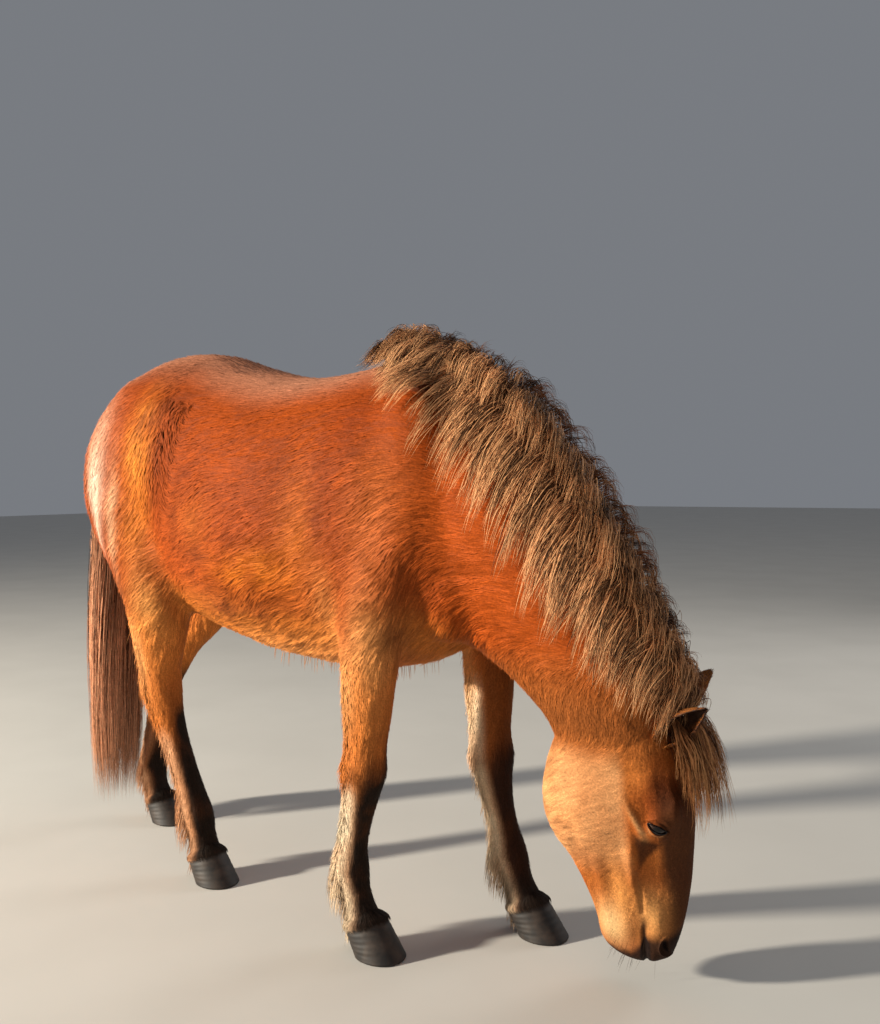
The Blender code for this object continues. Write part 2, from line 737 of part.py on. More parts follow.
def mane_core(skin, share=1.0, lift=1.0):
    """The inner mass of the mane, over the crest and down the right side."""
    rings = []
    for x, y, z, height, length in crest_stations(14):
        near, out, _, _ = skin.find_nearest(Vector((x, y, z)))
        points, outs = fall(skin, near, Vector((0.05, -1, -0.1)), length * share, 5, lambda t: 0.0, 0.5, 0.0)
        left = near + Vector((0, 0.016, -0.004))
        heights = (1.0, 0.80, 0.62, 0.48, 0.36, 0.24)
        ring = [left]
        ring += [p + o * (height * lift * h) for p, o, h in zip(points, outs, heights)]
        ring += [p - o * 0.012 for p, o in zip(points[::-1], outs[::-1])]
        ring.append(left - out * 0.010)
        rings.append(ring)
    return tube(rings, "mane core")


def forelock_core(reach=0.21, lift=0.022):
    """The inner mass of the forelock, from the poll down the forehead."""
    frame = head_matrix()
    rings = []
    for share in np.linspace(0, 1, 6):
        along = 0.012 + reach * share
        half = 0.034 * (1 - 0.55 * share)
        face = np.interp(along, [r[0] for r in HEAD], [r[1] for r in HEAD])
        top = face + lift * (1 - 0.6 * share)
        rings.append([
            frame @ Vector(p)
            for p in (
                (along, -half, face - 0.006), (along, -half * 0.8, top - 0.006), (along, 0, top),
                (along, half * 0.8, top - 0.006), (along, half, face - 0.006), (along, 0, face - 0.014),
            )
        ])
    return tube(rings, "forelock core")


def lock(points, outs, width, thickness):
    """Flat tapered lock of four sides along a path, ending in a point."""
    rings = []
    last = len(points) - 1
    for k, (point, out) in enumerate(zip(points, outs)):
        if k == last:
            rings.append([point])
            break
        ahead = (points[min(k + 1, last)] - points[max(k - 1, 0)]).normalized()
        side = ahead.cross(out).normalized()
        out = side.cross(ahead).normalized()
        share = k / last
        half = width / 2 * (0.70 + 0.30 * min(1, share * 3)) * (1 - share**2.4 * 0.72)
        deep = thickness / 2 * (1 - 0.5 * share)
        rings.append([point + side * half, point + out * deep, point - side * half, point - out * deep])
    return tube(rings, "lock")


def mane_locks(skin, chance):
    """Locks in layers from the crest over the right side, the lowest layer the longest."""
    pieces = []
    for layer, count in enumerate(MANE_LAYERS):
        stations = crest_stations(count + 2)[1:-1]
        along = np.gradient(stations[:, :3], axis=0)
        for (x, y, z, height, length), ahead in zip(stations, along):
            ahead = Vector(ahead).normalized()
            near, out, _, _ = skin.find_nearest(Vector((x, y, z)) + ahead * chance.uniform(-0.02, 0.02))
            left = layer == len(MANE_LAYERS) - 1
            aside = 0.55 if left else -0.80
            heading = out * (0.75 if left else 0.55) + Vector((0, aside, 0)) + ahead * chance.uniform(-0.1, 0.25)
            reach = length * chance.uniform(1.05, 1.25) * (0.38 if left else 1.05 - 0.22 * layer)
            top = height * (0.60 if left else 0.60 + 0.20 * layer)
            low = 0.012 if left else 0.017 + 0.009 * layer

            def clearance(share):
                return low + (top - low) * max(0.0, 1 - share * 1.4) * min(1, share * 6)

            points, outs = fall(skin, near - out * 0.006, heading, reach, 3 if left else 4, clearance, 0.32)
            points[0] = near - out * 0.022
            width = MANE_LOCK * chance.uniform(0.85, 1.2)
            pieces.append(lock(points, outs, width * (0.7 if left else 1), 0.018))
    return pieces


def forelock_locks(skin, chance):
    """Locks from between the ears, down over the forehead."""
    frame = head_matrix()
    turned = frame.to_3x3()
    pieces = []
    for k in range(FORELOCKS):
        share = k / (FORELOCKS - 1) - 0.5
        near, out, _, _ = skin.find_nearest(frame @ Vector((0.012 + 0.02 * (k % 2), 0.055 * share, 0.03)))
        heading = out + turned @ Vector((0.5, 0.5 * share, 0.2))
        reach = FORELOCK_FALL * chance.uniform(0.85, 1.1)
        height = 0.020 + 0.012 * (k % 2)

        def clearance(t):
            return 0.010 + (height - 0.004) * min(1, t * 5) * (1 - 0.5 * t)

        points, outs = fall(skin, near, heading, reach, 6, clearance, 0.35, 1.6)
        points[0] = near - out * 0.014
        pieces.append(lock(points, outs, 0.030 * chance.uniform(0.9, 1.2), 0.011))
    return pieces


def tail_place(z):
    """Middle and half sizes of the tail's hair at a height."""
    table = np.asarray(TAIL)[::-1]
    outer, inner, y, half = (np.interp(z, table[:, 0], table[:, k]) for k in (1, 2, 3, 4))
    return (outer + inner) / 2, y, (inner - outer) / 2, half


def tail_locks(chance):
    """Locks round the dock in tiers, hanging to a squared end."""
    pieces = []
    for tier, (start, count) in enumerate(TAIL_TIERS):
        for k in range(count):
            angle = (k + 0.5 * (tier % 2)) * 2 * math.pi / count
            low = TAIL[-1][0] + chance.uniform(0.0, 0.10)
            sway, phase = chance.uniform(0.004, 0.010), chance.uniform(0, 6.28)
            points, outs = [], []
            for share in np.linspace(0, 1, 6):
                z = start + (low - start) * share
                x, y, deep, half = tail_place(z)
                out = Vector((math.cos(angle) * half, math.sin(angle) * deep, 0)).normalized()
                spread = 0.42 + 0.50 * min(1, share * 4) - 0.10 * share
                x += math.cos(angle) * deep * spread + sway * math.sin(phase + 5 * share)
                y += math.sin(angle) * half * spread + sway * math.cos(phase + 4 * share)
                points.append(Vector((x, y, z)))
                outs.append(out)
            pieces.append(lock(points, outs, TAIL_LOCK * chance.uniform(0.85, 1.15), 0.018))
    return pieces


def feather_locks(skin, joints, chance):
    """Short locks down the back of one fetlock."""
    pieces = []
    fetlock = Vector(joints[3])
    for k in range(FEATHERS):
        turn = math.radians(180 + (k / (FEATHERS - 1) - 0.5) * 110)
        ray = Vector((math.cos(turn), math.sin(turn), 0))
        near, out, _, _ = skin.find_nearest(fetlock + ray * 0.05 + Vector((0, 0, 0.004 * (k % 2))))
        reach = 0.075 * chance.uniform(0.85, 1.1)
        heading = out * 0.6 + Vector((0, 0, -1))
        points = [near - out * 0.010]
        for share in (0.25, 0.5, 0.75, 1.0):
            points.append(near + heading.normalized() * reach * share + out * 0.004 * (1 - share))
            heading.z -= 0.35
        pieces.append(lock(points, [out] * 5, 0.026, 0.011))
    return pieces


def united(node, pieces):
    """The node and the closed pieces made one closed solid."""
    group = bpy.data.collections.new("to unite")
    for piece in pieces:
        group.objects.link(piece)
    step = node.modifiers.new("unite", "BOOLEAN")
    step.operation = "UNION"
    step.solver = "MANIFOLD"
    step.operand_type = "COLLECTION"
    step.collection = group
    applied(node)
    for piece in list(group.objects):
        drop(piece)
    bpy.data.collections.remove(group)
    return largest(node)


def coloured(obj, name, hex_colour, roughness):
    material = bpy.data.materials.get(name)
    if material is None:
        material = bpy.data.materials.new(name)
        material.use_nodes = True
        surface = material.node_tree.nodes["Principled BSDF"]
        channels = [int(hex_colour[k:k + 2], 16) / 255 for k in (1, 3, 5)]
        linear = [c / 12.92 if c <= 0.04045 else ((c + 0.055) / 1.055) ** 2.4 for c in channels]
        surface.inputs["Base Color"].default_value = (*linear, 1)
        surface.inputs["Roughness"].default_value = roughness
        material.diffuse_color = (*linear, 1)
    obj.data.materials.clear()
    obj.data.materials.append(material)
    for face in obj.data.polygons:
        face.material_index = 0
        face.use_smooth = True


def stood_at_origin(objects):
    """Moves everything so that the origin is under the middle of the whole, on the floor."""
    corners = np.concatenate([points_of(obj) for obj in objects])
    low, high = corners.min(axis=0), corners.max(axis=0)
    shift = Vector((-(low[0] + high[0]) / 2, -(low[1] + high[1]) / 2, 0))
    for obj in objects:
        obj.data.transform(Matrix.Translation(shift))
        obj.data.update()
    return shift


def main():
    for obj in list(bpy.data.objects):
        bpy.data.objects.remove(obj)
    fine = flesh(flesh_pieces(), FLESH_VOXEL, SOFTENING)
    fine_head = flesh(flesh_pieces(head_only=True), HEAD_VOXEL, SOFTENING)
    skin = skin_of(fine)
    head_body = thinned(fine_head, HEAD_FACES)
    body = thinned(fine, BODY_FACES)
    head_planes = (head_plane(), ((0.66, 0, 0), (-1, 0, 0)))
    neck_planes = (((0.235, 0, 1.29), (-0.888, 0, -0.459)),)
    limbs = []
    for side, sign in (("right", -1), ("left", 1)):
        limbs.append(("foreleg_" + side, FORE_JOINTS[side], fore_planes(sign, FORE_JOINTS[side][1][0])))
        limbs.append(("hind_leg_" + side, HIND_JOINTS[side], hind_planes(sign, 0.0 if sign < 0 else -0.12)))
    blocks = [planes for _, _, planes in limbs]
    head = parted(head_body, "head", head_planes)
    legs = []
    for name, joints, planes in limbs:
        legs.append(parted(body, name, (*planes, coronet_plane(joints, True)), [head_planes]))
    neck = parted(body, "neck", neck_planes, [head_planes, *blocks])
    torso = parted(body, "torso", (), [head_planes, *blocks, neck_planes])
    for obj in (fine, head_body, body):
        drop(obj)
    hooves = [hoof(name.replace("leg", "hoof"), joints) for name, joints, _ in limbs]
    frame = head_matrix()
    eyes, ears = [], []
    for side, sign in (("right", -1), ("left", 1)):
        centre = frame @ Vector((EYE[0], sign * EYE[1], EYE[2]))
        boolean(head, "DIFFERENCE", [ball("socket", centre, EYE_RADIUS + GAP * 1.5), nostril(sign)])
        eyes.append(ball("eye_" + side, centre, EYE_RADIUS))
    chance = random.Random(SEED)
    head_skin = skin_of(fine_head)
    united(head, [forelock_core(0.09, 0.016), *forelock_locks(head_skin, chance)])
    for side, sign in (("right", -1), ("left", 1)):
        ears.append(clear_of(ear("ear_" + side, sign), [head]))
    mane = united(mane_core(skin, 0.45, 0.72), mane_locks(skin, chance))
    clear_of(mane, [head, torso])
    united(neck, [mane])
    largest(boolean(neck, "DIFFERENCE", [hull_of(obj, 0.002) for obj in ears], "MANIFOLD"))
    for obj, (_, joints, _) in zip(legs, limbs):
        united(obj, feather_locks(skin, joints, chance))
    tail = united(tail_core(0.55, 0.72), tail_locks(chance))
    clear_of(tail, [torso, *legs])
    for obj in (torso, neck, head, *legs, *ears):
        coloured(obj, "bay_coat", "#8a4420", 0.85)
    for obj in hooves:
        coloured(obj, "dark_horn", "#2b2420", 0.55)
    for obj in eyes:
        coloured(obj, "dark_eye", "#150d08", 0.08)
    coloured(tail, "tail_hair", "#2a1a12", 0.8)
    drop(fine_head)
    stood_at_origin([torso, neck, head, tail, *legs, *hooves, *ears, *eyes])


main()
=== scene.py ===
"""Looks of a life-size Icelandic horse that grazes: skin, winter coat, mane, tail, eyes, ears and hooves."""

import math

import bmesh
import bpy
import numpy as np
from mathutils import Matrix, Vector
from mathutils.bvhtree import BVHTree


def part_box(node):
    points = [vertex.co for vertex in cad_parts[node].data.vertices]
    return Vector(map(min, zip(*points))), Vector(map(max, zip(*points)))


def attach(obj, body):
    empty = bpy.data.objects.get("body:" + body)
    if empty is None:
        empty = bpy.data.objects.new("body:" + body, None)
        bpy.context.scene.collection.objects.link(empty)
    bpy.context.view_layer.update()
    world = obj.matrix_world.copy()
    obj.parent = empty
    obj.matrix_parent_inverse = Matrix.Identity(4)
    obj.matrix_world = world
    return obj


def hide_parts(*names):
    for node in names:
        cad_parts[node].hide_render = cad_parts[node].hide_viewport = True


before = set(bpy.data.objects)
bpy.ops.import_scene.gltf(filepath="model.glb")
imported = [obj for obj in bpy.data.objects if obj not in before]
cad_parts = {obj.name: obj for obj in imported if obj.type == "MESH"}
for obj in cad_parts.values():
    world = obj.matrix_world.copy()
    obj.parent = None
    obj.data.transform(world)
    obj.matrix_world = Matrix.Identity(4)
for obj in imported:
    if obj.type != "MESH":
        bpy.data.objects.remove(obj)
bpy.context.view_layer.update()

# Fineness of the skin: its voxels, and the share of its faces that is kept off the head
SKIN_VOXEL = 0.0045
SKIN_SHARE = 0.145
# Step along a loft and its sides, and the height at which the legs' finer shapes end
LOFT_STEP = 0.01
LOFT_SIDES = 64
LEG_TOP = 0.70

# Photograph's eye point in the horse's design frame, and its turn, tilt, roll and focal length
EYE_POINT = (1.8270, -1.6320, 1.0160)
VIEW_TURN = math.radians(-40.43)
VIEW_TILT = math.radians(1.84)
VIEW_ROLL = math.radians(-0.66)
FOCAL_HEIGHTS = 1000.2 / 1024
SENSOR_HEIGHT = 24
# Studio lights: name, place, what they aim at, size, power and colour
LIGHTS = (
    ("sun_side", (-4.45, -6.25, 2.8), (0.1, 0, 0.75), 0.6, 1450, (1.0, 0.92, 0.78)),
    ("front_fill", (5.0, -3.0, 2.2), (0.2, 0, 0.7), 3.0, 14, (0.95, 0.97, 1.0)),
    ("far_rim", (1.5, 4.5, 3.2), (0, 0, 0.8), 2.5, 60, (1.0, 0.97, 0.92)),
)

# Rounds of smoothing at a voxel of 8 mm, and the height of the coronet's back edge
SOFTENING = 22
SOFTENING_VOXEL = 0.008
CORONET = 0.064

# Hooves: rise of the top edge to the front, length and width on the ground and at the top edge, how far the
# ground edge lies forward of the top one, the horn's sides, how flat its heel is, how far its top edge stays
# under the coronet, and the places of its rings
HOOF_SLOPE = 0.34
HOOF_GROUND = (0.120, 0.104)
HOOF_TOP = (0.092, 0.090)
HOOF_SHIFT = 0.046
HOOF_SIDES = 72
HEEL_FLATNESS = 0.10
HORN_GAP = 0.0003
HOOF_RINGS = (0.0, 0.012, 0.03, *np.linspace(0.06, 0.955, 34), 0.97, 0.985, 1.0, 1.0)

# The head's own frame: X runs from the poll to the muzzle, Z out of the forehead, Y to its left
POLL = Vector((0.925, 0.084, 0.572))
FACE_DOWN = Vector((-0.020, 0.208, -0.978))
FOREHEAD_OUT = Vector((0.928, 0.368, 0.060))

# Trunk stations, tail to breast: top x, top z, bottom x, bottom z, half width, widest share from the top
TRUNK = (
    (-0.712, 1.110, -0.705, 0.900, 0.100, 0.50),
    (-0.680, 1.200, -0.670, 0.800, 0.180, 0.48),
    (-0.610, 1.283, -0.600, 0.740, 0.222, 0.46),
    (-0.500, 1.335, -0.500, 0.700, 0.243, 0.46),
    (-0.400, 1.357, -0.400, 0.680, 0.250, 0.48),
    (-0.280, 1.350, -0.280, 0.655, 0.255, 0.52),
    (-0.140, 1.310, -0.140, 0.630, 0.272, 0.56),
    (0.000, 1.275, 0.000, 0.612, 0.287, 0.58),
    (0.120, 1.262, 0.120, 0.603, 0.280, 0.58),
    (0.240, 1.268, 0.240, 0.600, 0.255, 0.58),
    (0.340, 1.276, 0.340, 0.605, 0.230, 0.58),
    (0.440, 1.250, 0.440, 0.630, 0.205, 0.58),
    (0.540, 1.170, 0.510, 0.665, 0.175, 0.56),
    (0.620, 1.050, 0.560, 0.700, 0.130, 0.50),
)
# Neck stations, withers to throat: crest x, y, z, underline x, y, z, half width, widest share
NECK = (
    (0.400, 0.000, 1.230, 0.420, 0.000, 0.700, 0.150, 0.50),
    (0.560, 0.000, 1.205, 0.520, 0.000, 0.670, 0.150, 0.50),
    (0.655, 0.004, 1.130, 0.560, 0.000, 0.655, 0.135, 0.50),
    (0.735, 0.012, 1.020, 0.600, 0.003, 0.632, 0.118, 0.50),
    (0.805, 0.024, 0.915, 0.635, 0.006, 0.607, 0.106, 0.50),
    (0.862, 0.038, 0.810, 0.668, 0.010, 0.577, 0.097, 0.48),
    (0.910, 0.054, 0.710, 0.697, 0.015, 0.545, 0.090, 0.46),
    (0.942, 0.070, 0.635, 0.718, 0.020, 0.505, 0.083, 0.44),
    (0.955, 0.084, 0.580, 0.735, 0.028, 0.455, 0.076, 0.42),
)
# Head stations in its own frame, poll to lips: along, face height, jaw height, half width, widest share
HEAD = (
    (-0.045, -0.030, -0.160, 0.055, 0.40),
    (0.000, 0.012, -0.190, 0.072, 0.36),
    (0.050, 0.026, -0.222, 0.082, 0.33),
    (0.100, 0.036, -0.245, 0.088, 0.30),
    (0.150, 0.040, -0.260, 0.094, 0.27),
    (0.200, 0.040, -0.262, 0.096, 0.27),
    (0.250, 0.036, -0.250, 0.085, 0.33),
    (0.300, 0.030, -0.222, 0.073, 0.38),
    (0.350, 0.023, -0.202, 0.063, 0.42),
    (0.400, 0.013, -0.186, 0.057, 0.43),
    (0.445, 0.002, -0.175, 0.057, 0.42),
    (0.480, -0.010, -0.165, 0.058, 0.42),
    (0.510, -0.026, -0.150, 0.051, 0.45),
    (0.528, -0.048, -0.122, 0.034, 0.50),
)
# Leg joints, top to bottom, as x, y, z
FORE_JOINTS = {
    "right": ((0.450, -0.125, 0.98), (0.388, -0.158, 0.72), (0.338, -0.140, 0.405),
              (0.270, -0.115, 0.175), (0.315, -0.115, 0.040)),
    "left": ((0.440, 0.115, 0.96), (0.455, 0.140, 0.72), (0.480, 0.120, 0.405),
             (0.484, 0.175, 0.175), (0.532, 0.184, 0.040)),
}
HIND_JOINTS = {
    "right": ((-0.470, -0.140, 1.05), (-0.370, -0.165, 0.80), (-0.410, -0.125, 0.475),
              (-0.325, -0.090, 0.165), (-0.283, -0.090, 0.040)),
    "left": ((-0.500, 0.140, 1.05), (-0.500, 0.165, 0.80), (-0.725, 0.120, 0.475),
             (-0.812, 0.105, 0.165), (-0.768, 0.105, 0.040)),
}
# Leg girths: joint number with a share of the way to the next, reach to the front, to the back, half width
FORE_GIRTHS = (
    (0.00, 0.110, 0.140, 0.070),
    (0.50, 0.105, 0.125, 0.074),
    (1.00, 0.080, 0.090, 0.066),
    (1.30, 0.066, 0.066, 0.056),
    (1.60, 0.055, 0.053, 0.048),
    (1.85, 0.047, 0.047, 0.044),
    (2.00, 0.050, 0.052, 0.049),
    (2.20, 0.040, 0.043, 0.041),
    (2.45, 0.034, 0.037, 0.034),
    (2.75, 0.034, 0.038, 0.033),
    (3.00, 0.040, 0.046, 0.039),
    (3.50, 0.034, 0.036, 0.035),
    (4.00, 0.045, 0.044, 0.045),
)
HIND_GIRTHS = (
    (0.00, 0.170, 0.165, 0.100),
    (0.50, 0.160, 0.172, 0.105),
    (1.00, 0.125, 0.148, 0.095),
    (1.30, 0.100, 0.112, 0.080),
    (1.55, 0.078, 0.088, 0.064),
    (1.80, 0.057, 0.064, 0.050),
    (2.00, 0.050, 0.074, 0.047),
    (2.12, 0.044, 0.060, 0.042),
    (2.30, 0.036, 0.042, 0.036),
    (2.60, 0.034, 0.038, 0.033),
    (2.85, 0.037, 0.042, 0.036),
    (3.00, 0.041, 0.048, 0.040),
    (3.50, 0.034, 0.038, 0.036),
    (4.00, 0.045, 0.044, 0.046),
)
# Muscle masses on each side: centre, radii and lean in degrees
MUSCLES = (
    ((0.380, 0.110, 0.930), (0.150, 0.085, 0.300), 20),
    ((0.520, 0.070, 0.800), (0.100, 0.085, 0.120), 0),
    ((-0.470, 0.115, 1.020), (0.230, 0.125, 0.290), 10),
)
# Soft forms raised on the head, in its own frame: centre, reach and height, mirrored to both sides
HEAD_FORMS = (
    ((0.166, 0.088, 0.010), (0.034, 0.024, 0.020), 0.012),
    ((0.224, 0.088, -0.056), (0.024, 0.022, 0.014), 0.005),
    ((0.115, 0.070, 0.030), (0.028, 0.022, 0.020), -0.008),
    ((0.290, 0.075, -0.085), (0.065, 0.030, 0.010), 0.008),
    ((0.150, 0.085, -0.165), (0.080, 0.050, 0.075), 0.011),
    ((0.330, 0.065, -0.125), (0.060, 0.040, 0.024), -0.008),
    ((0.360, 0.060, -0.030), (0.060, 0.030, 0.025), -0.006),
    ((0.482, 0.055, -0.040), (0.030, 0.030, 0.030), 0.009),
    ((0.440, 0.060, -0.052), (0.030, 0.030, 0.022), 0.004),
    ((0.440, 0.050, -0.120), (0.040, 0.030, 0.030), 0.005),
    ((0.480, 0.000, -0.160), (0.032, 0.040, 0.020), 0.008),
    ((0.240, 0.000, -0.250), (0.130, 0.022, 0.040), -0.012),
)
# Soft forms raised on the trunk and limbs, mirrored too
BODY_FORMS = (
    ((-0.300, 0.230, 0.930), (0.100, 0.080, 0.120), -0.014),
    ((-0.300, 0.220, 1.220), (0.050, 0.060, 0.045), 0.009),
    ((0.560, 0.100, 1.020), (0.060, 0.080, 0.140), -0.008),
    ((0.225, 0.230, 0.860), (0.045, 0.080, 0.200), -0.008),
    ((0.360, 0.190, 0.960), (0.080, 0.080, 0.180), 0.012),
    ((0.430, 0.190, 0.790), (0.060, 0.080, 0.060), 0.014),
    ((-0.470, 0.220, 1.000), (0.110, 0.080, 0.160), 0.010),
)
# Eyes with their look, corner and lift, nostrils and ears in the head's frame, on its left
EYE = (0.194, 0.080, -0.026)
EYE_RADIUS = 0.0205
EYE_LOOK = (0.08, 0.98, 0.14)
EYE_CORNER = (0.54, 0.06, 0.84)
EYE_LIFT = (-0.84, 0, 0.54)
CORNEA_BULGE = 0.0010
NOSTRIL = (0.478, 0.050, -0.036)
EAR_BASE = (0.030, 0.052, -0.008)
EAR_REACH = (-0.070, 0.045, 0.090)
EAR_OPENING = (0.35, 0.90, 0.10)
# Ear stations, base to tip: share of the length, half width, half turn of the shell in degrees
EAR = ((-0.14, 0.017, 150), (0.0, 0.021, 140), (0.15, 0.026, 125), (0.35, 0.029, 112), (0.55, 0.026, 100),
       (0.75, 0.018, 92), (0.90, 0.010, 85), (1.0, 0.004, 80))
# Tail stations, dock to tip: height, outer x, inner x, y, half width
TAIL = (
    (1.205, -0.690, -0.600, 0.000, 0.030),
    (1.170, -0.742, -0.650, 0.000, 0.040),
    (1.090, -0.790, -0.715, -0.003, 0.048),
    (0.980, -0.815, -0.738, -0.010, 0.058),
    (0.850, -0.835, -0.745, -0.018, 0.068),
    (0.650, -0.850, -0.752, -0.022, 0.074),
    (0.450, -0.858, -0.760, -0.022, 0.078),
    (0.250, -0.860, -0.765, -0.022, 0.076),
    (0.090, -0.852, -0.774, -0.022, 0.064),
)
# Mane stations from withers to poll: crest x, y, z, height of the hair over the skin, its fall
MANE = (
    (0.300, 0.000, 1.275, 0.036, 0.12),
    (0.360, 0.000, 1.276, 0.062, 0.20),
    (0.440, 0.000, 1.250, 0.062, 0.27),
    (0.560, 0.000, 1.205, 0.052, 0.34),
    (0.655, 0.004, 1.130, 0.050, 0.38),
    (0.735, 0.012, 1.020, 0.050, 0.40),
    (0.805, 0.024, 0.915, 0.048, 0.40),
    (0.862, 0.038, 0.810, 0.045, 0.34),
    (0.910, 0.054, 0.710, 0.042, 0.27),
    (0.942, 0.070, 0.635, 0.038, 0.20),
    (0.952, 0.080, 0.600, 0.030, 0.14),
)


# Finer forms of the face, in the head's frame: centre, reach and height, mirrored to both sides
FINE_FORMS = (
    ((0.250, 0.085, -0.076), (0.045, 0.030, 0.008), 0.0050),
    ((0.256, 0.082, -0.046), (0.040, 0.030, 0.024), -0.0060),
    ((0.165, 0.090, -0.042), (0.026, 0.030, 0.012), -0.0030),
    ((0.330, 0.070, -0.050), (0.050, 0.030, 0.018), -0.0035),
    ((0.110, 0.080, -0.010), (0.030, 0.025, 0.020), -0.0050),
    ((0.150, 0.085, 0.012), (0.024, 0.025, 0.010), 0.0035),
    ((0.345, 0.065, -0.110), (0.070, 0.030, 0.016), 0.0035),
    ((0.350, 0.060, -0.168), (0.080, 0.030, 0.012), -0.0040),
    ((0.245, 0.075, -0.190), (0.050, 0.040, 0.012), -0.0030),
    ((0.452, 0.050, -0.006), (0.034, 0.018, 0.008), 0.0040),
    ((0.420, 0.055, -0.045), (0.036, 0.025, 0.016), 0.0040),
    ((0.500, 0.052, -0.062), (0.018, 0.022, 0.010), 0.0040),
    ((0.512, 0.030, -0.030), (0.012, 0.022, 0.020), 0.0030),
    ((0.435, 0.052, -0.105), (0.030, 0.025, 0.018), 0.0045),
    ((0.440, 0.045, -0.150), (0.030, 0.030, 0.020), 0.0050),
    ((0.090, 0.085, -0.070), (0.012, 0.030, 0.060), -0.0040),
)
# Lines on the side of the head, from one point to another, each given down the face and out of it
CHEEK_RIDGE = ((0.130, -0.084), (0.198, -0.056))
# Painted highlight along the lit edge of the cheekbone's ridge
CHEEK_HIGHLIGHT = ((0.128, -0.086), (0.205, -0.052))
FACE_FOLD = ((0.310, -0.074), (0.400, -0.073))
# Painted shade along the groove of the face's fold
FOLD_PAINTED_SHADE = ((0.30, -0.075), (0.42, -0.073))
# Corners of the painted shadow that the cheekbone casts into the hollow under it, given the same way
CHEEK_SHADOW = ((0.206, -0.072), (0.236, -0.020), (0.302, -0.068), (0.296, -0.074))
# Rim of the eye socket: its distance from the eye's centre, softness, and height above and below the eye
SOCKET_RIM = 0.0235
SOCKET_SOFT = 0.0060
BROW_RISE = 0.0055
UNDER_EYE_RISE = 0.0035
# Lids: where they end, in radians from the eye's look, how far out the upper one creases, and their height
# over the ball
LID_REACH = 1.22
LID_CREASE = 0.46
LID_HEIGHT = 0.0054
# Half heights of the almond opening above and below its middle, in radians seen from the eye's centre
OPENING_HEIGHTS = (0.25, 0.20)
# The groove between the lips: depth and half width, and the end of the mouth's corner
MOUTH_DEPTH = 0.0045
MOUTH_WIDTH = 0.0042
MOUTH_CORNER = (0.425, 0.445)
# Height of the knee, where the black of the foreleg reaches back
KNEE_HEIGHT = 0.405

# Colours as seen in daylight, for the body, legs, muzzle, lips, mane, forelock and tail
BAY = "#873a12"
BRIGHT_BAY = "#a94a14"
# painted sheen of the sky over the top of the back
PAINTED_BACK_SHEEN = "#d29a7c"
GOLD = "#c87a34"
LEG_TAN = "#d27c3a"
LEG_BUFF = "#e6a567"
# painted shade for the far foreleg's upper front
PAINTED_LEG_SHADE = "#3f2113"
SOOT = "#2a201a"
CREAM = "#dcc8a8"
FACE_BAY = ("#a5521f", "#cb7838")
MUZZLE_GREY = "#8a6c55"
LIP = "#241a17"
HAIR_DARK = "#20130e"
HAIR_BROWN = "#a3633a"
HAIR_BLOND = "#edb17c"
FORELOCK_TIP = "#cf9460"
TAIL_BROWN = "#8a563c"
TAIL_RED = "#eaa880"
# The hide under the hair is a little darker than the hair
HIDE_SHADE = 0.86
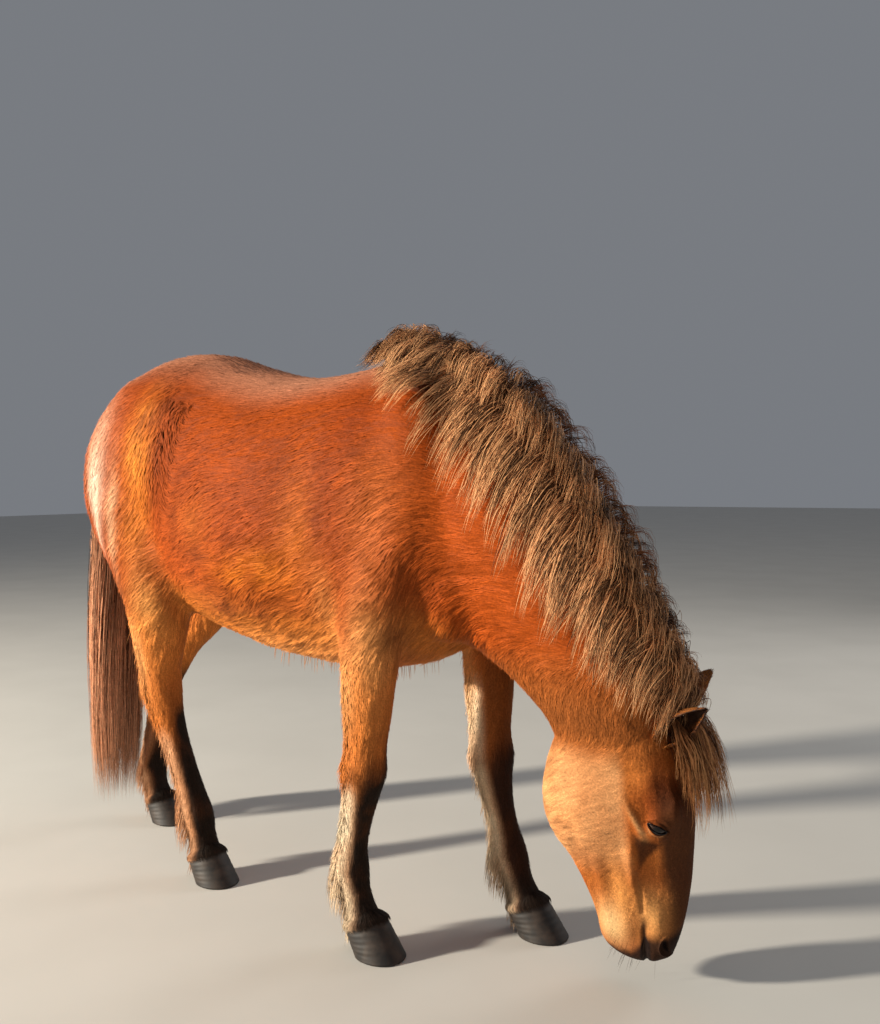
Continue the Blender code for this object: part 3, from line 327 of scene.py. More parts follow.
# Marks of the coat: place on the right side, reach, colour, share, and how ragged the edge is
MARKS = (
    # painted highlights: two pale stripes of sheen along the rump's edge
    ((-0.530, -0.25, 1.000), (0.050, 0.20, 0.130), "#f9e4ca", 0.92, 0.5),
    ((-0.425, -0.24, 0.930), (0.020, 0.20, 0.120), "#e0b086", 0.80, 0.7),
    ((-0.545, -0.22, 1.150), (0.075, 0.20, 0.100), "#cf9577", 0.70, 0.3),
    ((-0.330, -0.24, 1.110), (0.050, 0.20, 0.110), "#e08a35", 0.80, 0.8),
    ((-0.350, -0.24, 0.920), (0.045, 0.20, 0.090), "#cc7426", 0.65, 0.2),
    ((0.250, -0.23, 0.900), (0.050, 0.20, 0.130), "#bf6a2b", 0.55, 0.3),
    ((0.371, -0.17, 1.140), (0.080, 0.12, 0.080), "#7d3210", 0.70, 0.4),
    ((0.748, -0.08, 0.700), (0.070, 0.10, 0.090), "#96420f", 0.70, 0.4),
    # painted light: pale tan over the forearm's front, where the sun falls on it
    ((0.425, -0.20, 0.620), (0.055, 0.08, 0.150), "#eea764", 0.80, 0.3),
    ((-0.324, -0.23, 0.690), (0.055, 0.08, 0.120), "#e09c56", 0.65, 0.4),
    ((0.136, -0.27, 0.830), (0.130, 0.10, 0.050), "#c06a1a", 0.60, 0.8),
    ((0.310, -0.22, 0.740), (0.035, 0.20, 0.090), "#c98348", 0.60, 0.4),
    ((-0.060, -0.27, 0.930), (0.070, 0.20, 0.060), "#a85a22", 0.50, 0.4),
    ((0.440, -0.18, 0.950), (0.060, 0.20, 0.120), "#c26c36", 0.50, 0.3),
    ((-0.400, -0.21, 0.650), (0.080, 0.20, 0.060), "#c97a38", 0.60, 0.3),
    ((0.060, -0.27, 0.735), (0.170, 0.20, 0.040), "#5a2410", 0.75, 1.3),
    ((-0.245, -0.24, 1.070), (0.026, 0.10, 0.090), "#6b2c12", 0.50, 1.6),
    ((-0.220, -0.18, 1.215), (0.060, 0.20, 0.030), "#5a2814", 0.55, 1.2),
    ((-0.300, -0.10, 1.300), (0.180, 0.20, 0.030), "#6b331c", 0.50, 0.8),
    ((-0.090, -0.27, 1.030), (0.050, 0.10, 0.030), "#57220f", 0.60, 1.5),
    ((-0.045, -0.27, 0.845), (0.045, 0.10, 0.028), "#4e200e", 0.75, 1.2),
    ((0.310, -0.22, 0.985), (0.022, 0.12, 0.110), "#57220f", 0.50, 1.4),
    ((0.200, -0.20, 1.060), (0.025, 0.15, 0.140), "#6b2d12", 0.30, 1.0),
    ((0.470, -0.20, 0.690), (0.050, 0.10, 0.045), "#4a1e0e", 0.60, 1.0),
    ((0.470, -0.20, 0.900), (0.014, 0.10, 0.120), "#5f270f", 0.22, 1.0),
    ((-0.440, -0.21, 0.735), (0.055, 0.10, 0.045), "#54240f", 0.60, 1.4),
)
# The first marks are painted highlights, pale stripes of sheen along the rump's sunlit edge, which show
# fainter on the left
RUMP_HIGHLIGHTS = 2
HIGHLIGHTS_LEFT = 0.25
# Spots of colour on the face, in the head's frame: centre and reach
FACE_SPOTS = {
    "brow": ((0.125, 0.07, -0.010), (0.040, 0.05, 0.030)),
    "below_eye": ((0.222, 0.085, -0.052), (0.016, 0.03, 0.010)),
    "above_eye": ((0.160, 0.090, -0.035), (0.030, 0.04, 0.016)),
    "jaw": ((0.36, 0.06, -0.115), (0.080, 0.04, 0.030)),
    "nose_side": ((0.405, 0.055, -0.055), (0.060, 0.03, 0.030)),
    "chin": ((0.435, 0.05, -0.140), (0.045, 0.05, 0.032)),
}

# Way the hair points on the trunk, haunch, breast, neck and legs
TRUNK_WAY = (-1.0, 0.0, -0.42)
HAUNCH_WAY = (-0.45, 0.0, -1.0)
BREAST_WAY = (-0.35, 0.0, -1.0)
NECK_WAY = (-0.62, 0.0, 0.10)
LEG_WAY = (-0.12, 0.0, -1.0)
# Stretches of the coat, as centre and reach: haunch, breast, the flank's swirl, two ruffled patches, fetlocks
HAUNCH = ((-0.55, 0, 1.0), (0.22, 1, 0.35))
BREAST = ((0.56, 0, 0.82), (0.14, 1, 0.25))
SWIRL = ((-0.235, 0, 1.09), (0.09, 1, 0.14))
BARREL_RUFFLE = ((0.0, 0, 1.04), (0.08, 1, 0.06))
BELLY_RUFFLE = ((0.05, 0, 0.80), (0.20, 1, 0.10))
FETLOCK = ((0, 0, 0.16), (1, 1, 0.05))

COUNTS = {
    "tufts": (90000, 238000),
    "mane_locks": (100, 210),
    "crest_locks": (90, 200),
    "forelock_locks": (40, 90),
    "tail_locks": (130, 280),
    "leg_hairs": (1500, 3900),
    "coronet_hairs": (150, 420),
    "ear_tufts": (2500, 5500),
}
# Long hair: hairs in a lock in a quick and a finished piece, the lock's spread, girth of a hair, and how much
# shorter the shortest is
LOCKS = {
    "mane_hair": ((8, 16), 0.024, 0.0010, 0.30),
    "crest_hair": ((6, 8), 0.014, 0.0008, 0.35),
    "forelock_hair": ((8, 12), 0.014, 0.0008, 0.30),
    "tail_hair": ((8, 14), 0.020, 0.0010, 0.14),
}
LASHES = 64
WHISKERS = 70
SEED = 11
# Tufts in one piece of the coat, and triangles in one piece of long hair
TUFTS_A_PIECE = 48000
HAIR_FACES = 190000
# Length of the coat on the trunk, and the share of a tuft that lies behind its root
COAT_LENGTH = 0.024
TUFT_BACK = 0.15
# Steps of a long lock and of a short hair, how deep a lock's root sinks, and how flat a hair and a lock are
LOCK_STEPS = 8
HAIR_STEPS = 5
ROOT_SINK = 0.006
HAIR_FLATNESS = 0.55
LOCK_FLATNESS = 0.55
FRIZZ = 0.005
# Girth of the hairs on the legs and coronets, and of lashes and whiskers
LEG_HAIR_GIRTH = 0.0008
FINE_HAIR_GIRTH = 0.00022
FORELOCK_LENGTH = 0.225
# The quarters' coat ends and the barrel's begins here, and no loose hair hangs lower than this
BARREL_BACK = -0.20
FLOOR_CLEARANCE = 0.004
# Top and length of the dock, and its sides
DOCK_TOP = 1.200
DOCK_LENGTH = 0.38
DOCK_SIDES = 24
# Patch that each tuft and hair takes on the flattened skin
PATCH = 0.003
# Grain of each finish in millimetres. A single hair is too fine to show, so the coats' grains are small locks
COAT_GRAIN = 3.846
LONG_HAIR_GRAIN = 6.25
EYE_GRAIN = 25
HORN_GRAIN = 26.3
EAR_GRAIN = 5
FLOOR_GRAIN = 500
# Colour inputs of a Mix node, and its colour output
MIX_FIRST = 6
MIX_SECOND = 7
MIX_RESULT = 2


def unit(vector):
    """The vector at length 1."""
    return vector / np.linalg.norm(vector)


def units(vectors):
    """The vectors at length 1, along their last axis."""
    return vectors / (np.linalg.norm(vectors, axis=-1, keepdims=True) + 1e-9)


def bell(values, width):
    """1 where the values are 0, fading to 0 on both sides."""
    return np.exp(-((values / width) ** 2))


def amount(kind):
    """How many tufts, locks or hairs of a kind this run makes."""
    return COUNTS[kind][1]


def mesh_of(made, name):
    """The built mesh as Blender keeps it."""
    mesh = bpy.data.meshes.new(name)
    made.to_mesh(mesh)
    made.free()
    return mesh


def linked(name, data):
    """Object in the scene that holds the mesh, lamp or camera."""
    obj = bpy.data.objects.new(name, data)
    bpy.context.scene.collection.objects.link(obj)
    return obj


def object_of(made, name):
    """Object in the scene from a built mesh."""
    return linked(name, mesh_of(made, name))


def between_rows(rows, places, wanted):
    """Rows read off a smooth curve through the given ones, at the wanted places along it."""
    slopes = np.gradient(rows, places, axis=0)
    index = np.clip(np.searchsorted(places, wanted, side="right") - 1, 0, len(places) - 2)
    span = (places[index + 1] - places[index])[:, None]
    t = (wanted - places[index])[:, None] / span
    return (
        (2 * t**3 - 3 * t**2 + 1) * rows[index]
        + (t**3 - 2 * t**2 + t) * span * slopes[index]
        + (3 * t**2 - 2 * t**3) * rows[index + 1]
        + (t**3 - t**2) * span * slopes[index + 1]
    )


def loft(rows, squareness):
    """Closed tube mesh: each row is a top point, a bottom point, a half width and the widest share."""
    rows = np.asarray(rows, float)
    middles = (rows[:, 0:3] + rows[:, 3:6]) / 2
    places = np.concatenate([[0], np.cumsum(np.linalg.norm(np.diff(middles, axis=0), axis=1))])
    count = max(3, round(places[-1] / LOFT_STEP) + 1)
    rows = between_rows(rows, places, np.linspace(0, places[-1], count))
    tangents = np.gradient((rows[:, 0:3] + rows[:, 3:6]) / 2, axis=0)
    angles = np.arange(LOFT_SIDES) * 2 * math.pi / LOFT_SIDES
    across = np.sign(np.cos(angles)) * np.abs(np.cos(angles)) ** (2 / squareness)
    along = np.sign(np.sin(angles)) * np.abs(np.sin(angles)) ** (2 / squareness)
    made = bmesh.new()
    rings = []
    for row, tangent in zip(rows, tangents):
        top, bottom, half_width, widest = row[0:3], row[3:6], row[6], row[7]
        up = top - bottom
        height = np.linalg.norm(up)
        side = unit(np.cross(up, tangent))
        up = up / height
        centre = top - up * height * widest
        rise = np.where(along > 0, widest, 1 - widest) * height * along
        points = centre + np.outer(across * half_width, side) + np.outer(rise, up)
        rings.append([made.verts.new(p) for p in points])
    for first, second in zip(rings, rings[1:]):
        for k in range(LOFT_SIDES):
            after = (k + 1) % LOFT_SIDES
            made.faces.new((first[k], first[after], second[after], second[k]))
    made.faces.new(rings[0][::-1])
    made.faces.new(rings[-1])
    bmesh.ops.recalc_face_normals(made, faces=made.faces)
    return mesh_of(made, "loft")


def muscle(centre, radii, lean):
    """Ellipsoid mass, leant about Y in degrees."""
    made = bmesh.new()
    bmesh.ops.create_icosphere(made, subdivisions=4, radius=1)
    leant = Matrix.Rotation(math.radians(lean), 4, "Y")
    place = Matrix.Translation(centre) @ leant @ Matrix.Diagonal((*radii, 1))
    bmesh.ops.transform(made, verts=made.verts, matrix=place)
    return mesh_of(made, "muscle")


def head_matrix():
    """Place and turn of the head's frame in the horse's."""
    x = FACE_DOWN.normalized()
    y = FOREHEAD_OUT.cross(x).normalized()
    z = x.cross(y)
    turned = Matrix((x, y, z)).transposed().to_4x4()
    return Matrix.Translation(POLL) @ turned


def on_head(place, side=1):
    """A place given in the head's frame, on its left side or mirrored to its right."""
    return head_matrix() @ Vector((place[0], side * place[1], place[2]))


def head_way(way, side=1):
    """A direction given in the head's frame, on its left side or mirrored to its right."""
    return head_matrix().to_3x3() @ Vector((way[0], side * way[1], way[2]))


def trunk_rows():
    """Rows of the trunk's loft, from its stations on the middle plane."""
    return [(tx, 0, tz, bx, 0, bz, half, widest) for tx, tz, bx, bz, half, widest in TRUNK]


def head_rows():
    """Rows of the head's loft, from its stations in the head's frame."""
    rows = []
    for along, face, jaw, half, widest in HEAD:
        rows.append((*on_head((along, 0, face)), *on_head((along, 0, jaw)), half, widest))
    return rows


def leg_rows(joints, girths):
    """Rows of a leg's loft, square to the curve through its joints."""
    joints = np.asarray(joints, float)
    numbers = np.arange(len(joints), dtype=float)
    places = np.array([g[0] for g in girths])
    centres = between_rows(joints, numbers, places)
    lower = between_rows(joints, numbers, np.clip(places + 0.02, 0, numbers[-1]))
    upper = between_rows(joints, numbers, np.clip(places - 0.02, 0, numbers[-1]))
    rows = []
    for centre, down, (_, front, back, half) in zip(centres, lower - upper, girths):
        down = unit(down)
        forward = unit(np.array((1.0, 0, 0)) - down[0] * down)
        rows.append((*(centre + forward * front), *(centre - forward * back), half, front / (front + back)))
    return rows


def joined(meshes, name):
    """One object holding all these meshes."""
    made = bmesh.new()
    for mesh in meshes:
        made.from_mesh(mesh)
        bpy.data.meshes.remove(mesh)
    return object_of(made, name)


def applied(obj):
    """The object with its modifiers made part of its mesh."""
    graph = bpy.context.evaluated_depsgraph_get()
    mesh = bpy.data.meshes.new_from_object(obj.evaluated_get(graph))
    obj.modifiers.clear()
    old, obj.data = obj.data, mesh
    bpy.data.meshes.remove(old)
    return obj


def flesh_pieces():
    """Closed masses of the neck, head, trunk, legs and muscles, which run into one another."""
    pieces = [loft(NECK, 2.0), loft(head_rows(), 2.3), loft(trunk_rows(), 2.15)]
    for side, sign in (("right", -1), ("left", 1)):
        pieces.append(loft(leg_rows(FORE_JOINTS[side], FORE_GIRTHS), 2.1))
        pieces.append(loft(leg_rows(HIND_JOINTS[side], HIND_GIRTHS), 2.1))
        for (x, y, z), radii, lean in MUSCLES:
            pieces.append(muscle((x, sign * y, z), radii, lean))
    return pieces


def weigh(obj, name, weights):
    """Vertex group holding one weight for each vertex."""
    group = obj.vertex_groups.new(name=name)
    for index, weight in enumerate(weights):
        if weight > 0:
            group.add((index,), float(weight), "REPLACE")
    return group


def points_of(obj):
    """The mesh's points as an array."""
    points = np.empty(len(obj.data.vertices) * 3, np.float32)
    obj.data.vertices.foreach_get("co", points)
    return points.reshape(-1, 3).astype(float)


def normals_of(obj):
    """The mesh's normals at its points."""
    out = np.empty(len(obj.data.vertices) * 3, np.float32)
    obj.data.vertex_normals.foreach_get("vector", out)
    return out.reshape(-1, 3).astype(float)


def triangles_of(obj):
    """The mesh's triangles, as rows of three point numbers."""
    obj.data.calc_loop_triangles()
    triangles = np.empty(len(obj.data.loop_triangles) * 3, np.int32)
    obj.data.loop_triangles.foreach_get("vertices", triangles)
    return triangles.reshape(-1, 3)


def reshaped(obj, points):
    """Moves the mesh's points to these places."""
    obj.data.vertices.foreach_set("co", points.astype(np.float32).ravel())
    obj.data.update()


def ramp(values, low, high):
    """0 at low, 1 at high, with soft ends."""
    t = np.clip((values - low) / (high - low), 0, 1)
    return t * t * (3 - 2 * t)


def along_head(points):
    """The points in the head's own frame."""
    inverse = np.array(head_matrix().inverted())
    return points @ inverse[:3, :3].T + inverse[:3, 3]


def beside_head(points):
    """The points in the head's own frame, with its right side laid over its left."""
    local = along_head(points)
    local[:, 1] = np.abs(local[:, 1])
    return local


def carve(body):
    """Hollows and ridges of the head and trunk, as soft rises along the surface's own normals."""
    points, normals = points_of(body), normals_of(body)
    local = along_head(points)
    rise = np.zeros(len(points))
    for places, forms in ((local, HEAD_FORMS), (points, BODY_FORMS)):
        for centre, reach, height in forms:
            for side in (-1, 1):
                share = blot(places, np.array(centre) * (1, side, 1), reach)
                rise += height * share / (2 if centre[1] == 0 else 1)
    for side in (-1, 1):
        eye = local - np.array(EYE) * (1, side, 1)
        away = np.linalg.norm(eye * (0.86, 1, 1.12), axis=1)
        rise += np.where(eye[:, 2] > 0, BROW_RISE, UNDER_EYE_RISE) * bell(away - SOCKET_RIM, SOCKET_SOFT)
        share = ramp(local[:, 0], *MOUTH_CORNER) * ramp(side * local[:, 1], 0.0, 0.012)
        rise -= MOUTH_DEPTH * share * bell(local[:, 2] - mouth_height(local[:, 0]), MOUTH_WIDTH)
    points += normals * rise[:, None]
    reshaped(body, points)


def coronet_middle(joints):
    """Where the pastern's middle stands at the height of the coronet."""
    fetlock, foot = joints[3], joints[4]
    share = (fetlock[2] - CORONET) / (fetlock[2] - foot[2])
    return tuple(fetlock[k] + (foot[k] - fetlock[k]) * share for k in (0, 1))


def tail_place(z):
    """Middle and half sizes of the tail's hair at a height."""
    table = np.asarray(TAIL)[::-1]
    outer, inner, y, half = (np.interp(z, table[:, 0], table[:, k]) for k in (1, 2, 3, 4))
    return (outer + inner) / 2, y, (inner - outer) / 2, half


def skin_of(obj):
    """Search tree over an object's faces."""
    corners = [v.co.copy() for v in obj.data.vertices]
    return BVHTree.FromPolygons(corners, [p.vertices[:] for p in obj.data.polygons])


def fall(skin, start, heading, reach, steps, clearance, pull, hold):
    """Points of a hair that sets out on a heading, sinks under its weight and lies over the skin."""
    point, heading = Vector(start), Vector(heading).normalized()
    points, outs = [point.copy()], []
    for k in range(steps):
        share = (k + 1) / steps
        ahead = point + heading * (reach / steps)
        near, out, _, _ = skin.find_nearest(ahead)
        height = (ahead - near).dot(out)
        wanted = clearance(share)
        if height < wanted:
            ahead += out * (wanted - height)
        elif height > wanted * hold:
            ahead -= out * min(height - wanted * hold, 0.5 * reach / steps)
        heading = (ahead - point).normalized()
        heading = (heading + Vector((0, 0, -pull))).normalized()
        point = ahead
        points.append(point.copy())
        outs.append(out.copy())
    outs.insert(0, outs[0])
    return points, outs


def lock_path(skin, near, out, heading, reach, clearance, pull, hold=1.5):
    """Path of one long lock, with its root sunk in the skin."""
    points, outs = fall(skin, near, heading, reach, LOCK_STEPS, clearance, pull, hold)
    points[0] = near - out * ROOT_SINK
    return points, outs


def crest_stations(count):
    """Evenly spaced stations along the crest, read off the mane's table."""
    table = np.asarray(MANE, float)
    places = np.concatenate([[0], np.cumsum(np.linalg.norm(np.diff(table[:, :3], axis=0), axis=1))])
    return between_rows(table, places, np.linspace(0, places[-1], count))


def linear(hex_colour):
    """Linear channels of an sRGB hex colour."""
    channels = [int(hex_colour[k:k + 2], 16) / 255 for k in (1, 3, 5)]
    return np.array([c / 12.92 if c <= 0.04045 else ((c + 0.055) / 1.055) ** 2.4 for c in channels])


def lattice(keys, seed):
    """Even random numbers from 0 to 1 for whole-number triples."""
    n = keys[..., 0] * 73856093 ^ keys[..., 1] * 19349663 ^ keys[..., 2] * 83492791 ^ seed * 2654435
    n = (n ^ (n >> 13)) * 1274126177 & 0x7FFFFFFF
    return ((n ^ (n >> 16)) & 0xFFFF) / 65535.0


def cloud(points, size, seed):
    """Soft random field of that grain, from -1 to 1."""
    p = points / size
    low = np.floor(p).astype(np.int64)
    t = p - low
    t = t * t * (3 - 2 * t)
    total = 0
    for dx in (0, 1):
        for dy in (0, 1):
            for dz in (0, 1):
                weight = (
                    (t[:, 0] if dx else 1 - t[:, 0])
                    * (t[:, 1] if dy else 1 - t[:, 1])
                    * (t[:, 2] if dz else 1 - t[:, 2])
                )
                total = total + weight * lattice(low + (dx, dy, dz), seed)
    return total * 2 - 1


def blot(points, centre, reach):
    """1 at the centre of a soft ellipsoid, fading to 0."""
    away = (points - np.array(centre)) / np.array(reach)
    return np.exp(-(away**2).sum(axis=1))


def head_share(points):
    """1 on the head, 0 on the rest, with a soft border behind the jaw."""
    return ramp(along_head(points)[:, 0], 0.0, 0.09) * ramp(points[:, 0], 0.66, 0.72)


def neck_share(points):
    """1 on the neck, with soft borders at the withers and the head."""
    over = (points - np.array((0.275, 0, 1.29))) @ np.array((0.888, 0, 0.459))
    return ramp(over, -0.06, 0.10) * ramp(points[:, 2], 0.48, 0.62) * (1 - head_share(points))


def leg_frames(points):
    """For each point, the nearest leg's middle at its height, and whether it is a foreleg."""
    best = np.full(len(points), 9.0)
    middle = np.zeros((len(points), 2))
    fore = np.zeros(len(points), bool)
    for legs, is_fore in ((FORE_JOINTS, True), (HIND_JOINTS, False)):
        for joints in legs.values():
            table = np.array(joints)[::-1]
            x = np.interp(points[:, 2], table[:, 2], table[:, 0])
            y = np.interp(points[:, 2], table[:, 2], table[:, 1])
            away = np.hypot(points[:, 0] - x, points[:, 1] - y)
            near = away < best
            best = np.where(near, away, best)
            middle[near] = np.stack([x, y], axis=1)[near]
            fore = np.where(near, is_fore, fore)
    return middle, fore


def leg_share(points):
    """1 on the legs, fading out at the elbow and stifle."""
    return 1 - ramp(points[:, 2], 0.56, 0.72)


def mixed(a, b, share):
    """The first value turned to the second by its share at each point."""
    return a + (b - a) * np.clip(share, 0, 1)[:, None]


def layered(colour, layers):
    """The colour under layers of paint, first to last, each a tint and its share at each point."""
    for tint, share in layers:
        colour = mixed(colour, linear(tint), share)
    return colour


def trunk_colour(points, outs, grain):
    """Bay of the trunk and neck, golden underneath, with its marks; the top of the back is paler with painted
    sheen, and the rump's pale stripes and the forearm's pale tan are painted light.
    """
    height = points[:, 2]
    bright = 0.30 + 0.25 * cloud(points, 0.16, 3) + 0.30 * grain + 0.35 * neck_share(points)
    # painted sheen where the back faces up; golden hair on the underside
    top = ramp(outs[:, 2], 0.60, 0.98) * ramp(height, 1.10, 1.22)
    low = ramp(-outs[:, 2], 0.05, 0.60) * ramp(-height, -0.84, -0.66) * (1 - ramp(points[:, 0], 0.5, 0.6))
    colour = mixed(linear(BAY), linear(BRIGHT_BAY), bright)
    colour = layered(colour, ((PAINTED_BACK_SHEEN, 0.56 * top), (GOLD, 0.65 * low)))
    right = points.copy()
    right[:, 1] = -np.abs(points[:, 1])
    for number, (centre, reach, tint, share, ragged) in enumerate(MARKS):
        edge = np.clip(1 - 0.3 * ragged + ragged * grain, 0, 1.5)
        # the rump's painted highlights are fainter on the left side
        if number < RUMP_HIGHLIGHTS:
            edge = edge * (1 - (1 - HIGHLIGHTS_LEFT) * (points[:, 1] > 0))
        colour = mixed(colour, linear(tint), share * blot(right, centre, reach) * edge)
    return colour


def leg_colour(colour, points, grain):
    """Legs: tan above, black down the front and over the knee, cream hair down the back, and painted shade
    over the far foreleg's upper front.
    """
    height = points[:, 2]
    middle, fore = leg_frames(points)
    upper = leg_share(points)
    left = middle[:, 1] > 0
    outer = np.sign(middle[:, 1]) * (points[:, 1] - middle[:, 1])
    face = (points[:, 0] - middle[:, 0]) * 0.92 - outer * np.where(left, -0.25, 0.34)
    knee = bell(height - KNEE_HEIGHT, 0.030) * fore
    front = np.maximum(ramp(face, -0.012, 0.016), 0.75 * knee * ramp(face, -0.045, -0.010))
    dark_edge = np.where(fore, KNEE_HEIGHT, 0.400) + 0.05 * cloud(points, 0.05, 7)
    dark_edge = dark_edge + 0.07 * ramp(face, 0.005, 0.035)
    dark = 1 - ramp(height, dark_edge - 0.08, dark_edge + 0.05)
    higher = np.where(left & fore, 0.20, 0.0)
    pale = (1 - ramp(face, -0.014, 0.014)) * (1 - ramp(height - higher, 0.345, 0.400)) * (1 - 0.5 * knee)
    buff = (1 - ramp(face, -0.040, 0.005)) * upper * ramp(height, 0.40, 0.60)
    # painted shade over the upper front of the far, left foreleg
    shaded = (left & fore) * upper * ramp(face, -0.012, 0.020)
    foot = 1 - ramp(height, 0.095, 0.15)
    return layered(colour, (
        (LEG_TAN, 0.70 * upper),
        (SOOT, dark * (0.06 + 0.94 * front) * (1 - 0.12 * grain)),
        (CREAM, np.where(fore, 0.95, 0.35) * pale * (0.85 + 0.3 * grain)),
        (LEG_BUFF, 0.65 * buff),
        (PAINTED_LEG_SHADE, 0.55 * shaded),
        (SOOT, foot * (0.35 + 0.65 * front)),
    ))


def face_colour(points, grain):
    """The head: pale cheek, nose and chin, dark lips, nostrils and lid edges; painted shade over the face's
    front, in its fold, in the upper lid's crease and on the muzzle's end, painted shadow in the hollow under
    the cheekbone and a painted highlight on the cheekbone's edge.
    """
    near = beside_head(points)
    down, out = near[:, 0], near[:, 2]
    beside = ramp(near[:, 1], 0.030, 0.055)
    spot = {name: blot(near, *place) for name, place in FACE_SPOTS.items()}
    pale = ramp(-out, 0.070, 0.095) * ramp(down, 0.02, 0.09) * (1 - ramp(down, 0.26, 0.34))
    front = ramp(out, -0.046, -0.010)
    streak = bell(along_line(near, *CHEEK_HIGHLIGHT), 0.0055) * beside
    hollow = ramp(inside_lines(near, CHEEK_SHADOW) + 0.004 * grain, -0.003, 0.008) * beside
    fold = bell(along_line(near, *FOLD_PAINTED_SHADE), 0.006) * beside
    lips = bell(out - mouth_height(down), 0.006) * ramp(down, 0.405, 0.430)
    end = down + np.clip(out + 0.105, 0, 0.04) + 0.006 * grain
    bright = 0.45 + 0.40 * cloud(points, 0.06, 9) + 0.35 * grain
    skin = layered(mixed(linear(FACE_BAY[0]), linear(FACE_BAY[1]), bright), (
        ("#e0a26c", 0.80 * pale * (0.9 + 0.35 * grain)),
        ("#8a3413", 0.60 * spot["brow"]),
        # painted shade over the front of the face, which is turned from the light
        ("#42281a", 0.88 * front * ramp(down, 0.05, 0.15)),
        # painted highlight on the lit edge of the cheekbone's ridge
        ("#e0ab72", 0.62 * streak * ramp(down, 0.125, 0.190)),
        ("#dca168", 0.60 * spot["below_eye"]),
        # painted shadow cast by the cheekbone into the hollow under it
        ("#472615", 0.88 * hollow),
        ("#7a3414", 0.55 * spot["above_eye"]),
        # painted shade in the groove that runs down to the mouth
        ("#6b3a20", 0.50 * fold),
        ("#dd9752", 0.75 * spot["jaw"]),
        ("#e8a865", 0.85 * spot["nose_side"]),
        ("#e9c187", 0.85 * spot["chin"]),
        (MUZZLE_GREY, 0.22 * ramp(down, 0.44, 0.49)),
        # dark lips and muzzle skin, with the muzzle's end darkened further by painted shade where it faces
        # down
        (LIP, 0.9 * lips + 0.94 * ramp(end, 0.480, 0.505)),
    ))
    skin = mixed(skin, linear(LIP) * 0.6, 1 - ramp(nostril_place(near, 1), 0.7, 1.15))
    for side in (-1, 1):
        _, spread, height = around_eye(points, side)
        skin = layered(skin, (
            # painted shade in the upper lid's crease
            ("#2c160c", 0.75 * (bell(spread - LID_CREASE, 0.055) * ramp(height, -0.1, 0.5))),
            ("#cf9a68", 0.55 * bell(spread - 0.50, 0.14) * ramp(-height, 0.0, 0.6)),
            ("#1a0f0b", 0.95 * (1 - ramp(spread, 0.14, 0.30))),
        ))
    return skin


def coat_colour(points, outs):
    """The horse's markings: the colour of the coat at each point of the skin."""
    grain = cloud(points, 0.045, 1) * 0.6 + cloud(points, 0.018, 2) * 0.4
    colour = leg_colour(trunk_colour(points, outs, grain), points, grain)
    colour = mixed(colour, face_colour(points, grain), head_share(points))
    return np.clip(colour, 0.002, 1)


def lie(points, outs):
    """Which way the hair points on the skin, along its surface, and how ruffled it is there."""
    face, seen = head_share(points), points * (1, 0, 1)
    way = np.tile(np.array(TRUNK_WAY), (len(points), 1))
    way = mixed(way, np.array(HAUNCH_WAY), blot(seen, *HAUNCH))
    way = mixed(way, np.array(BREAST_WAY), blot(seen, *BREAST))
    way = mixed(way, np.array(NECK_WAY), neck_share(points))
    way = mixed(way, np.array(LEG_WAY), leg_share(points))
    turned = np.array(head_matrix())[:3, :3]
    local = along_head(points)
    cheek = ramp(-local[:, 2], 0.05, 0.10) * (1 - ramp(local[:, 0], 0.24, 0.38))
    down = 0.9 - 1.2 * ramp(-local[:, 0], -0.09, 0.0) - 0.35 * cheek
    back = 0.35 * ramp(-local[:, 2], 0.02, 0.12) + 0.85 * cheek
    on_face = np.outer(down, turned[:, 0]) - np.outer(back, turned[:, 2])
    way = way + (on_face - way) * face[:, None]
    # the swirl on the flank, and small wanderings everywhere
    swirl = blot(seen, *SWIRL)
    way[:, 2] += 2.2 * swirl * np.sign(points[:, 0] - SWIRL[0][0])
    way[:, 0] += 1.4 * swirl
    wander = np.stack([cloud(points, 0.07, seed) for seed in (21, 22, 23)], axis=1)
    rough = 0.18 + 1.0 * swirl + 0.55 * blot(seen, *BARREL_RUFFLE) + 0.5 * blot(seen, *BELLY_RUFFLE)
    way = way + wander * (rough * (1 - 0.6 * face))[:, None]
    way -= outs * (way * outs).sum(axis=1)[:, None]
    return units(way), rough


def unwrapped(points):
    """Place of each point on a flattened skin: trunk, neck, head and legs, each rolled out round its axis."""
    face, neck, leg = head_share(points) > 0.5, neck_share(points) > 0.5, points[:, 2] < 0.64
    neck &= ~face
    leg &= ~face & ~neck
    trunk = ~(face | neck | leg)
    x, y, z = points.T
    down_neck = (x - 0.3) * 0.66 + (1.3 - z) * 0.75
    local = along_head(points)
    middle, fore = leg_frames(points)
    column = 0.02 + 0.12 * (np.where(fore, 0, 1) * 2 + (y > 0))
    places = np.zeros((len(points), 2))
    # each stretch: turn round its axis, place and width on the sheet, way along, length, low edge and height
    for chosen, turn, left, width, along, length, low, high in (
        (trunk, np.arctan2(y, z - 0.95), 0.02, 0.46, x + 0.80, 1.5, 0.02, 0.46),
        (neck, np.arctan2(y, x - 0.35 - 0.45 * (1.2 - z)), 0.52, 0.46, down_neck, 1.1, 0.02, 0.30),
        (face, np.arctan2(local[:, 1], local[:, 2] + 0.09), 0.52, 0.46, local[:, 0] + 0.02, 0.56, 0.36, 0.34),
        (leg, np.arctan2(y - middle[:, 1], x - middle[:, 0]), column, 0.10, z, 0.66, 0.52, 0.44),
    ):
        across = left + width * (turn / (2 * math.pi) + 0.5)
        places[chosen] = np.stack([across, low + high * along / length], axis=1)[chosen]
    return np.clip(places, 0.004, 0.996)


